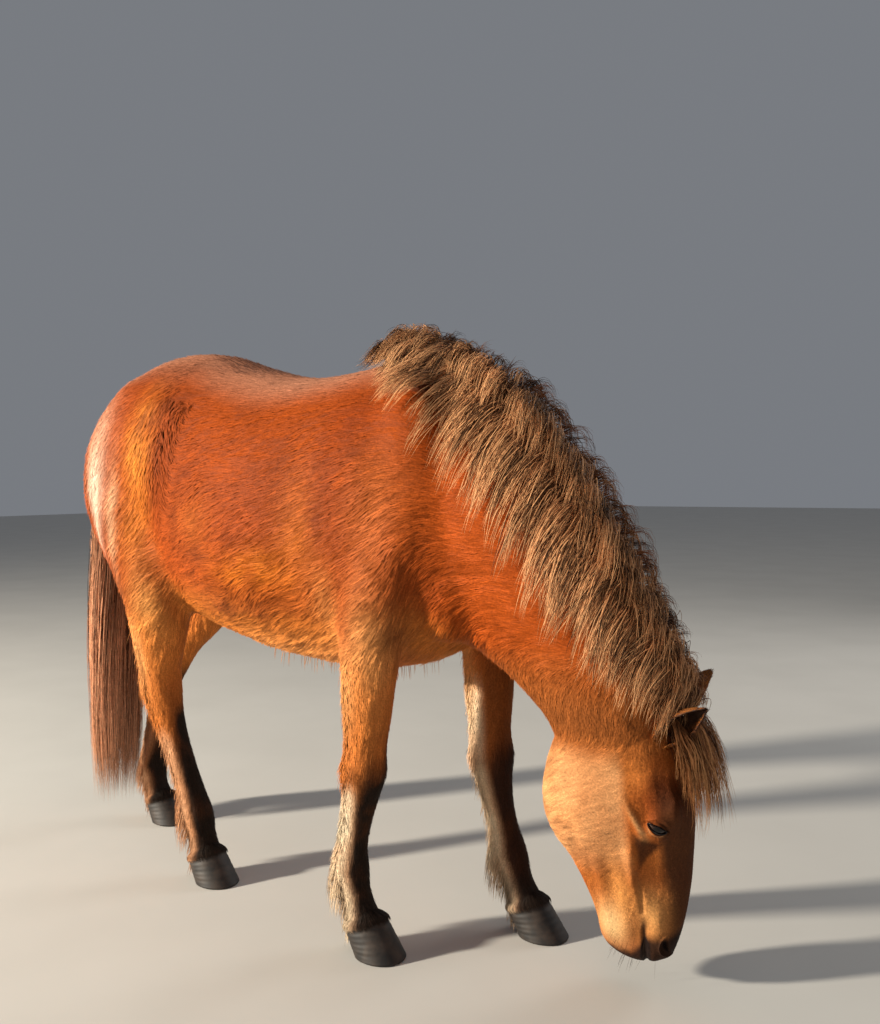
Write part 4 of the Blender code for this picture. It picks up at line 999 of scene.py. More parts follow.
def mesh_object(name, points, faces):
    """Mesh object from arrays of points and of faces with the same number of corners."""
    mesh = bpy.data.meshes.new(name)
    faces = np.asarray(faces, np.int32)
    size = faces.shape[1]
    mesh.vertices.add(len(points))
    mesh.vertices.foreach_set("co", np.asarray(points, np.float32).ravel())
    mesh.loops.add(faces.size)
    mesh.loops.foreach_set("vertex_index", faces.ravel())
    mesh.polygons.add(len(faces))
    mesh.polygons.foreach_set("loop_start", np.arange(0, faces.size, size, dtype=np.int32))
    mesh.update(calc_edges=True)
    mesh.validate()
    mesh.polygons.foreach_set("use_smooth", np.ones(len(mesh.polygons), bool))
    return linked(name, mesh)


def painted(obj, colours):
    """Stores a colour for each point, which the materials read."""
    layer = obj.data.color_attributes.new("coat", "FLOAT_COLOR", "POINT")
    whole = np.concatenate([colours, np.ones((len(colours), 1))], axis=1)
    layer.data.foreach_set("color", whole.astype(np.float32).ravel())


def evenly(hex_colour, count):
    """One colour for each of so many points."""
    return np.tile(linear(hex_colour), (count, 1))


def mapped(obj, places):
    """Gives the mesh its flattened place for each point."""
    layer = obj.data.uv_layers.new(name="OFBake")
    index = np.empty(len(obj.data.loops), np.int32)
    obj.data.loops.foreach_get("vertex_index", index)
    layer.data.foreach_set("uv", places[index].astype(np.float32).ravel())


def faced(obj, normals):
    """Shades the mesh with these normals, one for each point."""
    obj.data.normals_split_custom_set_from_vertices(units(normals).astype(np.float32))


def worn(obj, name, material, slot, *replaced):
    """Puts a finished piece at its place in the frame, riding on the horse in place of these solids."""
    obj.name = name
    obj.data.name = name
    obj.data.materials.append(material)
    obj.data.transform(Matrix.Translation(SHIFT))
    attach(obj, "root")
    if replaced:
        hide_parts(*replaced)


def scattered(points, normals, triangles, density, count, chance):
    """Random places on the skin, as points and normals, thicker where the density is high."""
    a, b, c = (points[triangles[:, k]] for k in range(3))
    area = np.linalg.norm(np.cross(b - a, c - a), axis=1) * density[triangles].mean(axis=1)
    area = np.maximum(area, 0)
    picks = np.searchsorted(np.cumsum(area), (np.arange(count) + chance.random(count)) * area.sum() / count)
    picks = np.clip(picks, 0, len(triangles) - 1)
    u, v = chance.random(count), chance.random(count)
    over = u + v > 1
    u[over], v[over] = 1 - u[over], 1 - v[over]
    corners = triangles[picks]
    weights = np.stack([1 - u - v, u, v], axis=1)[:, :, None]
    spot = (points[corners] * weights).sum(axis=1)
    return spot, units((normals[corners] * weights).sum(axis=1))


def tufts(name, roots, outs, ways, lengths, widths, lifts, colours, chance, places,
          contrast=0.12, tilt=0.0):
    """Thin pointed tufts of four faces, lying over the skin with their tips raised a little."""
    n = len(roots)
    ways = ways + np.cross(ways, outs) * chance.normal(0, 0.12, (n, 1))
    ways /= np.linalg.norm(ways, axis=1)[:, None]
    side = np.cross(ways, outs)
    lengths, widths, lifts = lengths[:, None], widths[:, None], lifts[:, None]
    root = roots - outs * 0.0003 - ways * lengths * TUFT_BACK
    left = root - side * widths / 2
    right = root + side * widths / 2
    ridge = roots + ways * lengths * 0.27 + outs * (lengths * lifts * 0.42 + 0.0001 + 0.05 * widths)
    ahead = np.sqrt(1 - np.minimum(lifts, 0.9) ** 2) - TUFT_BACK
    tip = roots + ways * lengths * ahead + outs * (lengths * lifts + 0.0002)
    points = np.stack([left, right, ridge, tip], axis=1).reshape(-1, 3)
    base = np.arange(n)[:, None, None] * 4
    faces = (base + np.array([[0, 2, 3], [1, 3, 2], [0, 1, 2], [0, 3, 1]])).reshape(-1, 3)
    obj = mesh_object(name, points, faces)
    shade = 1 + chance.normal(0, 1, (n, 1, 1)) * contrast
    along = np.array([0.86, 0.86, 1.0, 1.10])[None, :, None]
    painted(obj, np.clip(colours[:, None, :] * shade * along, 0.001, 1).reshape(-1, 3))
    spread = np.array([(-0.5, 0), (0.5, 0), (0, 0.4), (0, 1)])[None] * PATCH
    mapped(obj, (places[:, None, :] + spread).reshape(-1, 2))
    lean = outs + side * (chance.normal(0, 0.10, n) + tilt)[:, None]
    lean = lean + ways * chance.normal(0.06, 0.08, (n, 1))
    faced(obj, np.repeat(lean, 4, axis=0))
    return obj


def strands(name, paths, girths, outs, colours, places):
    """Long hairs: three-sided, tapering to a point. Paths, outs and colours are one row of points a hair."""
    count, steps, _ = paths.shape
    ahead = units(np.gradient(paths, axis=1))
    side = units(np.cross(ahead, outs))
    over = np.cross(side, ahead)
    share = np.linspace(0, 1, steps)
    taper = (0.55 + 0.45 * np.minimum(1, share * 5)) * (1 - share**3) ** 0.8
    radius = girths[:, None] * taper[None, :]
    corners = []
    for k in range(3):
        a = 2 * math.pi * (k + 0.25) / 3
        across = side * (math.cos(a) * radius)[..., None]
        corners.append(paths + across + over * (math.sin(a) * radius * HAIR_FLATNESS)[..., None])
    body = np.stack(corners, axis=2)[:, :-1].reshape(count, -1, 3)
    points = np.concatenate([body, paths[:, -1:]], axis=1)
    per = points.shape[1]
    last = 3 * (steps - 2)
    faces = []
    for k in range(steps - 2):
        for j in range(3):
            first, after = 3 * k + j, 3 * k + (j + 1) % 3
            faces += [(first, after + 3, after), (first, first + 3, after + 3)]
    for j in range(3):
        faces.append((last + (j + 1) % 3, last + j, per - 1))
    faces.append((0, 1, 2))
    faces = (np.array(faces)[None] + (np.arange(count) * per)[:, None, None]).reshape(-1, 3)
    obj = mesh_object(name, points.reshape(-1, 3), faces)

    def at_corners(values):
        """Each step's value at its three corners, and the last one at the tip."""
        return np.concatenate([np.repeat(values[:, :-1], 3, axis=1), values[:, -1:]], axis=1)

    painted(obj, np.clip(at_corners(colours), 0.001, 1).reshape(-1, 3))
    across = np.concatenate([np.tile(np.array([-0.5, 0.5, 0.0]), steps - 1), [0]])
    spread = np.stack([across, at_corners(share[None])[0]], axis=1)[None] * PATCH
    mapped(obj, (places[:, None, :] + spread).reshape(-1, 2))
    centre = at_corners(paths)
    centre[:, -1] -= ahead[:, -1] * 0.01
    faced(obj, (at_corners(outs) * 0.6 + units(points - centre) * 0.7).reshape(-1, 3))
    return obj


def combed(guides, guide_outs, per, spread, chance, shorter):
    """Hairs gathered in locks round each guide path, spread at the middle and drawn together at the tip."""
    count, steps, _ = guides.shape
    pick = np.repeat(np.arange(count), per)
    total = len(pick)
    side = units(np.cross(units(np.gradient(guides, axis=1)), guide_outs))
    share = np.linspace(0, 1, steps)
    opening = 0.45 + 0.55 * np.minimum(1, share / 0.30)
    width = (opening * (1 - 0.72 * np.clip((share - 0.35) / 0.65, 0, 1) ** 1.3))[None, :, None]
    across = chance.normal(0, 0.5, total)[:, None, None] * spread
    high = np.abs(chance.normal(0, 0.5, total))[:, None, None] * spread * LOCK_FLATNESS
    end = 1 - shorter * chance.random(total) ** 1.5
    where = share[None, :] * end[:, None] * (steps - 1)
    low = np.clip(where.astype(int), 0, steps - 2)
    between = (where - low)[..., None]
    rows = pick[:, None]

    def read(values):
        """The guides' values at each hair's own steps, which end sooner on a shorter hair."""
        return values[rows, low] * (1 - between) + values[rows, low + 1] * between

    drift = chance.normal(0, 1, (total, 1, 3)) * FRIZZ * share[None, :, None] ** 1.5
    phase = chance.random((total, 1, 1)) * 6.28
    wave = np.sin(phase + share[None, :, None] * 9) * FRIZZ * 0.5
    outs = read(guide_outs)
    paths = read(guides) + read(side) * (across * width + wave) + outs * high * width + drift
    return paths, outs, pick


def hair_colours(count, steps, chance, dark, middle, tip, pick):
    """Dark at the root, lighter towards the tip, each lock and each hair a little different."""
    share = np.linspace(0, 1, steps)[None, :, None]
    lock = chance.random(pick.max() + 1)[pick][:, None, None]
    tone = np.clip(1.8 * (0.55 * lock + 0.45 * chance.random((count, 1, 1)) - 0.5) + 0.44, 0, 1.15)
    light = np.clip(0.1 + 1.1 * tone + chance.normal(0, 0.22, (count, 1, 1)), 0, 1.2)
    body = dark + (middle - dark) * np.clip(0.04 + 1.25 * tone * (0.45 + share), 0, 1)
    return body + (tip - body) * np.clip(light * (share - 0.14) * 1.6, 0, 0.95)


def add_node(tree, kind, inputs, **settings):
    """One shader node with its settings; each input is a value or the output that feeds it."""
    node = tree.nodes.new(kind)
    for name, value in settings.items():
        setattr(node, name, value)
    for name, value in inputs.items():
        if isinstance(value, bpy.types.NodeSocket):
            tree.links.new(value, node.inputs[name])
        else:
            node.inputs[name].default_value = value
    return node


def new_material(name, finish):
    """A named material with these constants on its surface, its node tree and its surface shader."""
    material = bpy.data.materials.new(name)
    material.use_nodes = True
    surface = material.node_tree.nodes["Principled BSDF"]
    for socket, value in finish.items():
        surface.inputs[socket].default_value = value
    return material, material.node_tree, surface


def coat_material(name, grain, finish):
    """Colour from the piece's own paint, broken up by light and dark grains of this size in millimetres."""
    material, tree, surface = new_material(name, finish)
    paint = add_node(tree, "ShaderNodeAttribute", {}, attribute_name="coat")
    where = add_node(tree, "ShaderNodeTexCoord", {})
    grains = {"Vector": where.outputs["Object"], "Scale": 1000 / grain, "Detail": 3}
    speckle = add_node(tree, "ShaderNodeTexNoise", grains)
    shades = {"From Min": 0.3, "From Max": 0.7, "To Min": 0.78, "To Max": 1.20}
    band = add_node(tree, "ShaderNodeMapRange", {"Value": speckle.outputs["Fac"], **shades})
    both = {"Factor": 1.0, MIX_FIRST: paint.outputs["Color"], MIX_SECOND: band.outputs["Result"]}
    blend = add_node(tree, "ShaderNodeMix", both, data_type="RGBA", blend_type="MULTIPLY")
    tree.links.new(blend.outputs[MIX_RESULT], surface.inputs["Base Color"])
    return material


def clouded_material(name, first, second, size, finish, bump=0.0):
    """Soft clouds of this size in millimetres between two colours, with a fine bump."""
    material, tree, surface = new_material(name, finish)
    where = add_node(tree, "ShaderNodeTexCoord", {})
    spread = {"Vector": where.outputs["Object"], "Scale": 1000 / size, "Detail": 4}
    clouds = add_node(tree, "ShaderNodeTexNoise", spread)
    tones = add_node(tree, "ShaderNodeValToRGB", {"Fac": clouds.outputs["Fac"]})
    for stop, place, tint in zip(tones.color_ramp.elements, (0.35, 0.68), (first, second)):
        stop.position = place
        stop.color = (*linear(tint), 1)
    tree.links.new(tones.outputs["Color"], surface.inputs["Base Color"])
    if bump:
        height = {"Height": clouds.outputs["Fac"], "Strength": bump, "Distance": 0.001}
        rise = add_node(tree, "ShaderNodeBump", height)
        tree.links.new(rise.outputs["Normal"], surface.inputs["Normal"])
    return material


def finishes():
    """The horse's finishes, by what they cover."""
    fur = {"Sheen Roughness": 0.45, "Specular IOR Level": 0.06}
    wet = {"Sheen Roughness": 0.45, "Specular IOR Level": 0.30, "Coat Weight": 0.25}
    return {
        # Keratin hair, dry and unwashed: rough, with hardly any gloss
        "coat": coat_material("winter_coat", COAT_GRAIN, {"Roughness": 0.62, **fur}),
        # Mane and tail hair is smoother keratin and takes a little more light along its edges
        "hair": coat_material("long_hair", LONG_HAIR_GRAIN, {"Roughness": 0.50, "Sheen Weight": 0.02, **fur}),
        # Tears over the eyeball and the lids' rims: smooth, with a thin clear coat that catches the sun
        "eye": coat_material("eye_surface", EYE_GRAIN, {"Roughness": 0.10, **wet}),
        # Hoof horn dulled by grass: matte, clouded grey-brown
        "horn": clouded_material("hoof_horn", "#1a1512", "#3a2f27", HORN_GRAIN, {"Roughness": 0.62}, 0.35),
        # Thin dark skin of the ear between its hairs, finely wrinkled
        "ear": clouded_material("ear_skin", "#2e1a12", "#4a2c1e", EAR_GRAIN, {"Roughness": 0.7}, 0.2),
    }


def coat_depth(points):
    """How deep the skin lies under the coat's tips."""
    face, leg = head_share(points), leg_share(points)
    return 0.0070 - 0.0048 * face - 0.0040 * leg * (1 - face)


def make_skin():
    """The whole hide under the hair, finest on the face."""
    body = joined(flesh_pieces(), "hide")
    remesh = body.modifiers.new("fuse", "REMESH")
    remesh.mode = "VOXEL"
    remesh.voxel_size = SKIN_VOXEL
    applied(body)
    points = points_of(body)
    on_head = ramp(along_head(points)[:, 0], 0.02, 0.10) * ramp(points[:, 0], 0.70, 0.74)
    on_leg = 1 - ramp(points[:, 2], LEG_TOP - 0.14, LEG_TOP + 0.06)
    weigh(body, "calm", np.clip(1 - 0.88 * np.maximum(on_head, on_leg), 0, 1))
    smooth = body.modifiers.new("soften", "SMOOTH")
    smooth.iterations = round(SOFTENING * (SOFTENING_VOXEL / SKIN_VOXEL) ** 2)
    smooth.vertex_group = "calm"
    applied(body)
    weigh(body, "loose", (head_share(points_of(body)) < 0.5) * 1.0)
    fewer = body.modifiers.new("fewer", "DECIMATE")
    fewer.ratio = SKIN_SHARE
    fewer.vertex_group = "loose"
    applied(body)
    refined(body)
    carve(body)
    carve_fine(body)
    points = points_of(body)
    points -= normals_of(body) * coat_depth(points)[:, None]
    reshaped(body, points)
    body.data.polygons.foreach_set("use_smooth", np.ones(len(body.data.polygons), bool))
    return body


def lid_spread(points):
    """How far out over the nearer eye's lids each point lies."""
    return np.minimum(around_eye(points, -1)[1], around_eye(points, 1)[1])


def bare_share(points):
    """1 on the edges of the lids and in the nostrils, where no hair grows."""
    lids = 1 - ramp(lid_spread(points), 0.18, 0.32)
    nostrils = (1 - ramp(nostril_place(beside_head(points), 1), 0.9, 1.3)) * head_share(points)
    return np.clip(lids + nostrils, 0, 1)


def coat_sizes(roots, outs, ways, rough, chance):
    """Length, width and lift of each tuft, and how light or dark its streak is."""
    total = len(roots)
    face, leg = head_share(roots), leg_share(roots)
    near = beside_head(roots)
    muzzle = face * ramp(near[:, 0], 0.38, 0.48)
    eye = 1 - ramp(lid_spread(roots), 0.5, 1.6)
    belly = ramp(-outs[:, 2], 0.1, 0.8) * (1 - leg) * (1 - face)
    jaw = face * ramp(-near[:, 2], 0.16, 0.23) * (1 - muzzle)
    back = leg * ramp(leg_frames(roots)[0][:, 0] - roots[:, 0], 0.005, 0.03)
    lengths = COAT_LENGTH - 0.0100 * face - 0.003 * neck_share(roots) + 0.005 * belly + 0.004 * jaw
    lengths = lengths - 0.009 * leg * (1 - back) + 0.008 * back
    lengths = lengths * (1 - 0.50 * muzzle) * (1 - 0.55 * eye) * (0.75 + 0.5 * chance.random(total))
    lengths *= 1 + 0.35 * np.clip(rough - 0.2, 0, 1)
    widths = lengths * (0.125 + 0.05 * chance.random(total) + 0.045 * face)
    broad = streaks(roots, ways, np.where(face > 0.5, 0.0060, 0.0075)[:, None])
    streak = 0.6 * broad + 0.4 * streaks(roots, ways, 0.0035)
    lifts = 0.085 + 0.03 * face + 0.04 * chance.normal(0, 1, total) + 0.10 * np.clip(streak, -0.5, 1)
    lifts = lifts + 0.22 * np.clip(rough - 0.25, 0, 1) * (1 - belly) + 0.12 * back + 0.03 * jaw
    return lengths, widths, np.clip(lifts, 0.03, 0.55), streak


def stretches(roots):
    """Which tufts belong to each stretch of the horse, by the stretch's name."""
    face, neck, right = head_share(roots) > 0.5, neck_share(roots) > 0.5, roots[:, 1] < 0
    found = {
        "coat_head": face,
        "coat_neck_right": neck & ~face & right,
        "coat_neck_left": neck & ~face & ~right,
        "coat_legs": (roots[:, 2] < 0.62) & ~face & ~neck,
    }
    rest = ~np.any(list(found.values()), axis=0)
    behind = roots[:, 0] < BARREL_BACK
    for side, chosen in (("right", right), ("left", ~right)):
        found["coat_quarter_" + side] = rest & chosen & behind
        found["coat_barrel_" + side] = rest & chosen & ~behind
    return found


def coat(skin, chance):
    """Short plush hair over the whole skin, in one or more pieces for each stretch of the horse."""
    points = points_of(skin)
    density = 1 + 3.4 * head_share(points) + 0.75 * leg_share(points) + 0.5 * neck_share(points)
    density = density * (1 - bare_share(points))
    roots, outs = scattered(points, normals_of(skin), triangles_of(skin), density, amount("tufts"), chance)
    ways, rough = lie(roots, outs)
    lengths, widths, lifts, streak = coat_sizes(roots, outs, ways, rough, chance)
    clump = 1 + (0.20 + 0.12 * head_share(roots)) * streak + 0.08 * cloud(roots, 0.03, 32)
    colours = coat_colour(roots, outs) * np.clip(clump, 0.4, 1.6)[:, None]
    places = unwrapped(roots)
    pieces = []
    for name, chosen in stretches(roots).items():
        index = np.nonzero(chosen)[0]
        shares = np.array_split(index, max(1, math.ceil(len(index) / TUFTS_A_PIECE)))
        for number, some in enumerate(shares):
            sizes = (lengths[some], widths[some], lifts[some])
            pieces.append(tufts(
                f"{name}_{number + 1}", roots[some], outs[some], ways[some], *sizes, colours[some], chance,
                places[some], 0.08, 0.30 * streak[some]))
    return pieces


def guides_to_arrays(found):
    """The paths as one array, and the skin's outward ways beside them as another."""
    points = np.array([[tuple(p) for p in path] for path, _ in found])
    outs = np.array([[tuple(o) for o in out] for _, out in found])
    return points, outs


def mane(skin_tree, chance):
    """Hair that roots along the crest, lifts off it and falls over the neck, most of it to the right."""
    falling, loose = [], []
    count = amount("mane_locks")
    stations = crest_stations(count)
    along = np.gradient(stations[:, :3], axis=0)
    for k, ((x, y, z, height, length), ahead) in enumerate(zip(stations, along)):
        ahead = Vector(ahead).normalized()
        back = 0.75 * max(0.0, 1 - k / count * 1.5)
        for layer in range(2):
            spot = Vector((x, y + chance.normal(-0.004, 0.010), z)) + ahead * chance.normal(0, 0.008)
            near, out, _, _ = skin_tree.find_nearest(spot)
            # each fifth lock of the upper layer falls to the left
            across = 0.7 if layer == 1 and k % 5 == 0 else -0.80 + 0.25 * layer
            heading = out * (0.45 + 0.50 * layer) + Vector((-back, across, 0))
            heading = heading + ahead * chance.normal(0.05, 0.13)
            reach = length * (0.73 - 0.20 * layer) * chance.uniform(0.72, 1.08)
            top = height * (0.60 + 0.36 * layer) * chance.uniform(0.85, 1.1)
            low = 0.008 + 0.016 * chance.random() + 0.008 * layer

            def clearance(share):
                """Height over the skin: a hump near the root, then low to the tip."""
                return low + (top - low) * max(0.0, 1 - share * 1.4) * min(1, share * 6)

            falling.append(lock_path(skin_tree, near, out, heading, reach, clearance, 0.22 - 0.12 * back))
    for x, y, z, height, length in crest_stations(amount("crest_locks")):
        near, out, _, _ = skin_tree.find_nearest(Vector((x, y + chance.normal(0.008, 0.007), z)))
        loose_way = Vector((chance.normal(-0.05, 0.25), chance.uniform(-0.4, 1.0), chance.uniform(0, 0.3)))
        top = height * chance.uniform(0.55, 1.10)

        def rise(share):
            """Height over the skin: up at once, then slowly down."""
            return 0.008 + (top - 0.008) * max(0, 1 - share * 0.9) * min(1, share * 4)

        reach = length * chance.uniform(0.20, 0.42)
        loose.append(lock_path(skin_tree, near, out, out + loose_way, reach, rise, 0.14, 3))
    return guides_to_arrays(falling), guides_to_arrays(loose)


def forelock(skin_tree, chance):
    """Hair from between the ears that hangs before the forehead."""
    found = []
    for _ in range(amount("forelock_locks")):
        side = chance.uniform(-1.15, 0.85)
        near, out, _, _ = skin_tree.find_nearest(on_head((chance.uniform(-0.030, 0.045), 0.055 * side, 0.03)))
        heading = out * 0.8 + head_way((0.65, 0.70 * side, 0.10)) + Vector((0, 0, -0.25))
        reach = FORELOCK_LENGTH * chance.uniform(0.62, 1.08) * (1 - 0.20 * abs(side))
        high = 0.012 + 0.028 * chance.random()

        def clearance(share):
            """Height over the skin: a low arch."""
            return 0.006 + high * min(1, share * 4) * (1 - 0.3 * share)

        found.append(lock_path(skin_tree, near, out, heading, reach, clearance, 0.42, 2.6))
    return guides_to_arrays(found)


def tail_guides(chance):
    """Hair all round the dock, hanging to a nearly straight end."""
    found = []
    for _ in range(amount("tail_locks")):
        angle = chance.uniform(0, 2 * math.pi)
        start = DOCK_TOP - 0.45 * chance.random() ** 1.9
        low = TAIL[-1][0] - 0.015 + 0.13 * chance.random() ** 2.5
        depth = math.sqrt(chance.uniform(0.72 if start > 1.0 else 0.12, 1.0))
        sway, phase = chance.uniform(0.003, 0.010), chance.uniform(0, 6.28)
        points, outs = [], []
        for share in np.linspace(0, 1, 9) ** 1.6:
            z = start + (low - start) * share
            x, y, deep, half = tail_place(z)
            out = Vector((math.cos(angle) * half, math.sin(angle) * deep, 0)).normalized()
            spread = (0.25 + 0.70 * min(1, share * 14)) * depth - 0.03 * share
            x += math.cos(angle) * deep * spread + sway * math.sin(phase + 6 * share)
            y += math.sin(angle) * half * spread + sway * math.cos(phase + 5 * share)
            points.append((x, y, z))
            outs.append(tuple(out))
        found.append((points, outs))
    return guides_to_arrays(found)


def make_dock():
    """The fleshy root of the tail, inside the hair."""
    angles = np.arange(DOCK_SIDES) * 2 * math.pi / DOCK_SIDES
    rings = []
    for share in np.linspace(0, 1, 26):
        z = DOCK_TOP - DOCK_LENGTH * share
        x, y, deep, half = tail_place(z)
        plump = 0.46 * math.sqrt(max(0.02, 1 - share**3)) * min(1.0, 0.5 + 8 * share)
        across, wide = x + np.cos(angles) * deep * plump, y + np.sin(angles) * half * plump
        rings.append(np.stack([across, wide, np.full(DOCK_SIDES, z)], axis=1))
    return grid_object("dock", rings)


def split_strands(name, paths, girths, outs, colours):
    """Long hairs in as many pieces as the limit on triangles asks for."""
    faces = (paths.shape[1] - 2) * 6 + 4
    shares = np.array_split(np.arange(len(paths)), math.ceil(len(paths) * faces / HAIR_FACES))
    pieces = []
    for number, some in enumerate(shares):
        places = unwrapped(paths[some, 0])
        pieces.append(strands(
            f"{name}_{number + 1}", paths[some], girths[some], outs[some], colours[some], places))
    return pieces


def leg_hair(skin, chance):
    """Longer hair down the backs of the legs, longest over the fetlocks."""
    points = points_of(skin)
    behind = leg_frames(points)[0][:, 0] - points[:, 0]
    back = ramp(behind, 0.000, 0.028) * (1 - ramp(points[:, 2], 0.48, 0.66))
    fetlock = blot(points * (0, 0, 1), *FETLOCK) * back
    density = (0.8 * back + 3.0 * fetlock) * (head_share(points) < 0.01)
    count = amount("leg_hairs")
    roots, outs = scattered(points, normals_of(skin), triangles_of(skin), density, count, chance)
    reach = (0.028 + 0.032 * blot(roots * (0, 0, 1), *FETLOCK)) * (0.7 + 0.6 * chance.random(count))
    share = np.linspace(0, 1, HAIR_STEPS)
    out_share = (0.50 * share - 0.22 * share**2)[None, :, None]
    paths = roots[:, None, :] + outs[:, None, :] * out_share * reach[:, None, None] * 0.9
    paths[:, :, 2] -= share[None, :] ** 1.1 * reach[:, None]
    paths += chance.normal(0, 1, (count, 1, 3)) * 0.002 * share[None, :, None]
    paths[:, :, 2] = np.maximum(paths[:, :, 2], FLOOR_CLEARANCE)
    colours = coat_colour(roots, outs)[:, None, :] * (0.8 + 0.4 * share)[None, :, None]
    colours = colours * (1 + chance.normal(0, 0.15, (count, 1, 1)))
    outs = np.repeat(outs[:, None, :], HAIR_STEPS, axis=1)
    return split_strands("leg_hair", paths, np.full(count, LEG_HAIR_GIRTH), outs, colours)


def coronet_hair(skin_tree, chance):
    """Short hair that hangs over the top edge of each hoof."""
    count = amount("coronet_hairs")
    share = np.linspace(0, 1, HAIR_STEPS)[:, None]
    down = np.array((HOOF_SHIFT, 0, -CORONET)) / math.hypot(HOOF_SHIFT, CORONET)
    paths, outs = [], []
    for joints in (*FORE_JOINTS.values(), *HIND_JOINTS.values()):
        x, y = coronet_middle(joints)
        for k in range(count):
            a = (k + chance.random()) * 2 * math.pi / count
            bulge = 1 - HEEL_FLATNESS * max(0.0, -math.cos(a)) ** 3
            level = np.array((math.cos(a), math.sin(a), 0))
            rim = np.array((x + level[0] * bulge * HOOF_TOP[0] / 2, y + level[1] * HOOF_TOP[1] / 2, 0))
            rim[2] = CORONET + HOOF_SLOPE * (rim[0] - x) + 0.001
            above = rim + (0, 0, 0.006 + 0.008 * chance.random())
            hit = skin_tree.ray_cast(Vector(above + level * 0.04), Vector(-level))[0]
            root = np.array(hit) - level * 0.001 if hit else above - level * 0.008
            over = rim + level * (0.0016 + 0.002 * chance.random())
            end = over + down * (0.008 + 0.010 * chance.random()) + level * 0.001
            bend = 2 * over - (root + end) / 2
            paths.append((1 - share) ** 2 * root + 2 * share * (1 - share) * bend + share**2 * end)
            outs.append(np.tile(level, (HAIR_STEPS, 1)))
    paths, outs = np.array(paths), np.array(outs)
    colours = coat_colour(paths[:, 0], outs[:, 0])[:, None, :] * (0.8 + 0.5 * share)[None]
    colours = colours * (1 + chance.normal(0, 0.2, (len(paths), 1, 1)))
    return split_strands("coronet_hair", paths, np.full(len(paths), LEG_HAIR_GIRTH), outs, colours)


def grid_object(name, rings):
    """Closed object over rings of points, with a flat face over each end."""
    made = bmesh.new()
    verts = [[made.verts.new(p) for p in ring] for ring in rings]
    for first, second in zip(verts, verts[1:]):
        count = len(first)
        for k in range(count):
            after = (k + 1) % count
            made.faces.new((first[k], first[after], second[after], second[k]))
    made.faces.new(verts[0][::-1])
    made.faces.new(verts[-1])
    bmesh.ops.recalc_face_normals(made, faces=made.faces)
    return smooth_object(made, name)


def smooth_object(made, name):
    """Object from a built mesh, shaded smooth."""
    for face in made.faces:
        face.smooth = True
    return object_of(made, name)


def make_hoof(name, joints):
    """Horn capsule with faint growth rings, a rounded ground edge and the softer band at the top."""
    x, y = coronet_middle(joints)
    angles = np.arange(HOOF_SIDES) * 2 * math.pi / HOOF_SIDES
    bulge = 1 - HEEL_FLATNESS * np.clip(-np.cos(angles), 0, 1) ** 3
    rings = []
    for share in HOOF_RINGS:
        edge = 0.0030 * max(0.0, 1 - share / 0.03) + 0.0030 * max(0.0, (share - 0.95) / 0.05) ** 2
        wave = 0.00022 * math.sin(share * 44 + 0.6) + 0.00018 * math.sin(share * 19 + 1)
        swell = 0.0012 * math.exp(-(((share - 0.94) / 0.05) ** 2))
        grow = wave * (1 - math.exp(-((share / 0.15) ** 2))) + swell - edge
        length = HOOF_GROUND[0] + (HOOF_TOP[0] - HOOF_GROUND[0]) * share + 2 * grow
        width = HOOF_GROUND[1] + (HOOF_TOP[1] - HOOF_GROUND[1]) * share + 2 * grow
        forward = HOOF_SHIFT * (1 - share)
        ahead = np.cos(angles) * bulge * length / 2
        across = x + forward + ahead
        top = CORONET - HORN_GAP + HOOF_SLOPE * ahead
        rings.append(np.stack([across, y + np.sin(angles) * width / 2, top * share], axis=1))
    middle = rings[-1].mean(axis=0)
    rings[-1] = middle + (rings[-1] - middle) * 0.90
    return grid_object(name, rings)


def make_ear(name, side):
    """Cupped leaf with a rolled rim, thick at the root and thin at the tip."""
    base, reach = on_head(EAR_BASE, side), head_way(EAR_REACH, side)
    axis = reach.normalized()
    opening = head_way(EAR_OPENING, side)
    opening = (opening - axis * opening.dot(axis)).normalized()
    across = axis.cross(opening)
    table = np.array(EAR)
    rings = []
    for share in np.linspace(table[0, 0], 1.0, 36):
        half, turn = (np.interp(share, table[:, 0], table[:, k]) for k in (1, 2))
        middle = base + reach * float(share) - opening * (0.006 * float(share))
        turns = np.radians(np.linspace(-turn, turn, 27))
        sweep = [-opening * math.cos(a) * 0.9 + across * math.sin(a) for a in turns]
        wall = min(0.0030, half * 0.4)
        outer = [middle + way * half for way in sweep]
        inner = [middle + way * (half - wall) for way in sweep[::-1]]
        rings.append(outer + inner)
    return grid_object(name, rings), axis, opening


def ear_fur(name, obj, axis, opening, chance):
    """Short hair over the ear's back and longer, darker hair in its cup."""
    points, count = points_of(obj), amount("ear_tufts")
    roots, outs = scattered(points, normals_of(obj), triangles_of(obj), np.ones(len(points)), count, chance)
    axis, opening = np.array(axis), np.array(opening)
    inside = ramp(outs @ opening, 0.15, 0.60)
    high = (roots - points[0]) @ axis
    ways = units(axis[None] - outs * (outs @ axis)[:, None]) + opening * (0.35 * inside)[:, None]
    lengths = (0.0080 + 0.006 * inside * (1 - ramp(high, 0.05, 0.12))) * (0.7 + 0.6 * chance.random(count))
    lifts = np.clip(0.10 + 0.16 * inside + 0.05 * chance.normal(0, 1, count), 0.03, 0.5)
    colours = layered(evenly("#8f4a22", count), (
        ("#b87438", 0.5 + 0.4 * cloud(roots, 0.02, 5)),
        ("#33231b", 0.90 * inside * ramp(high, 0.012, 0.045)),
        ("#3a251a", 0.55 * ramp(high, 0.110, 0.145)),
    ))
    across = 0.55 + 0.2 * (inside > 0.5) + 0.15 * chance.random(count)
    places = np.stack([across, 0.75 + 0.2 * ramp(high, 0, 0.14)], axis=1)
    return tufts(name, roots, outs, ways, lengths, lengths * 0.14, lifts, colours, chance, places)


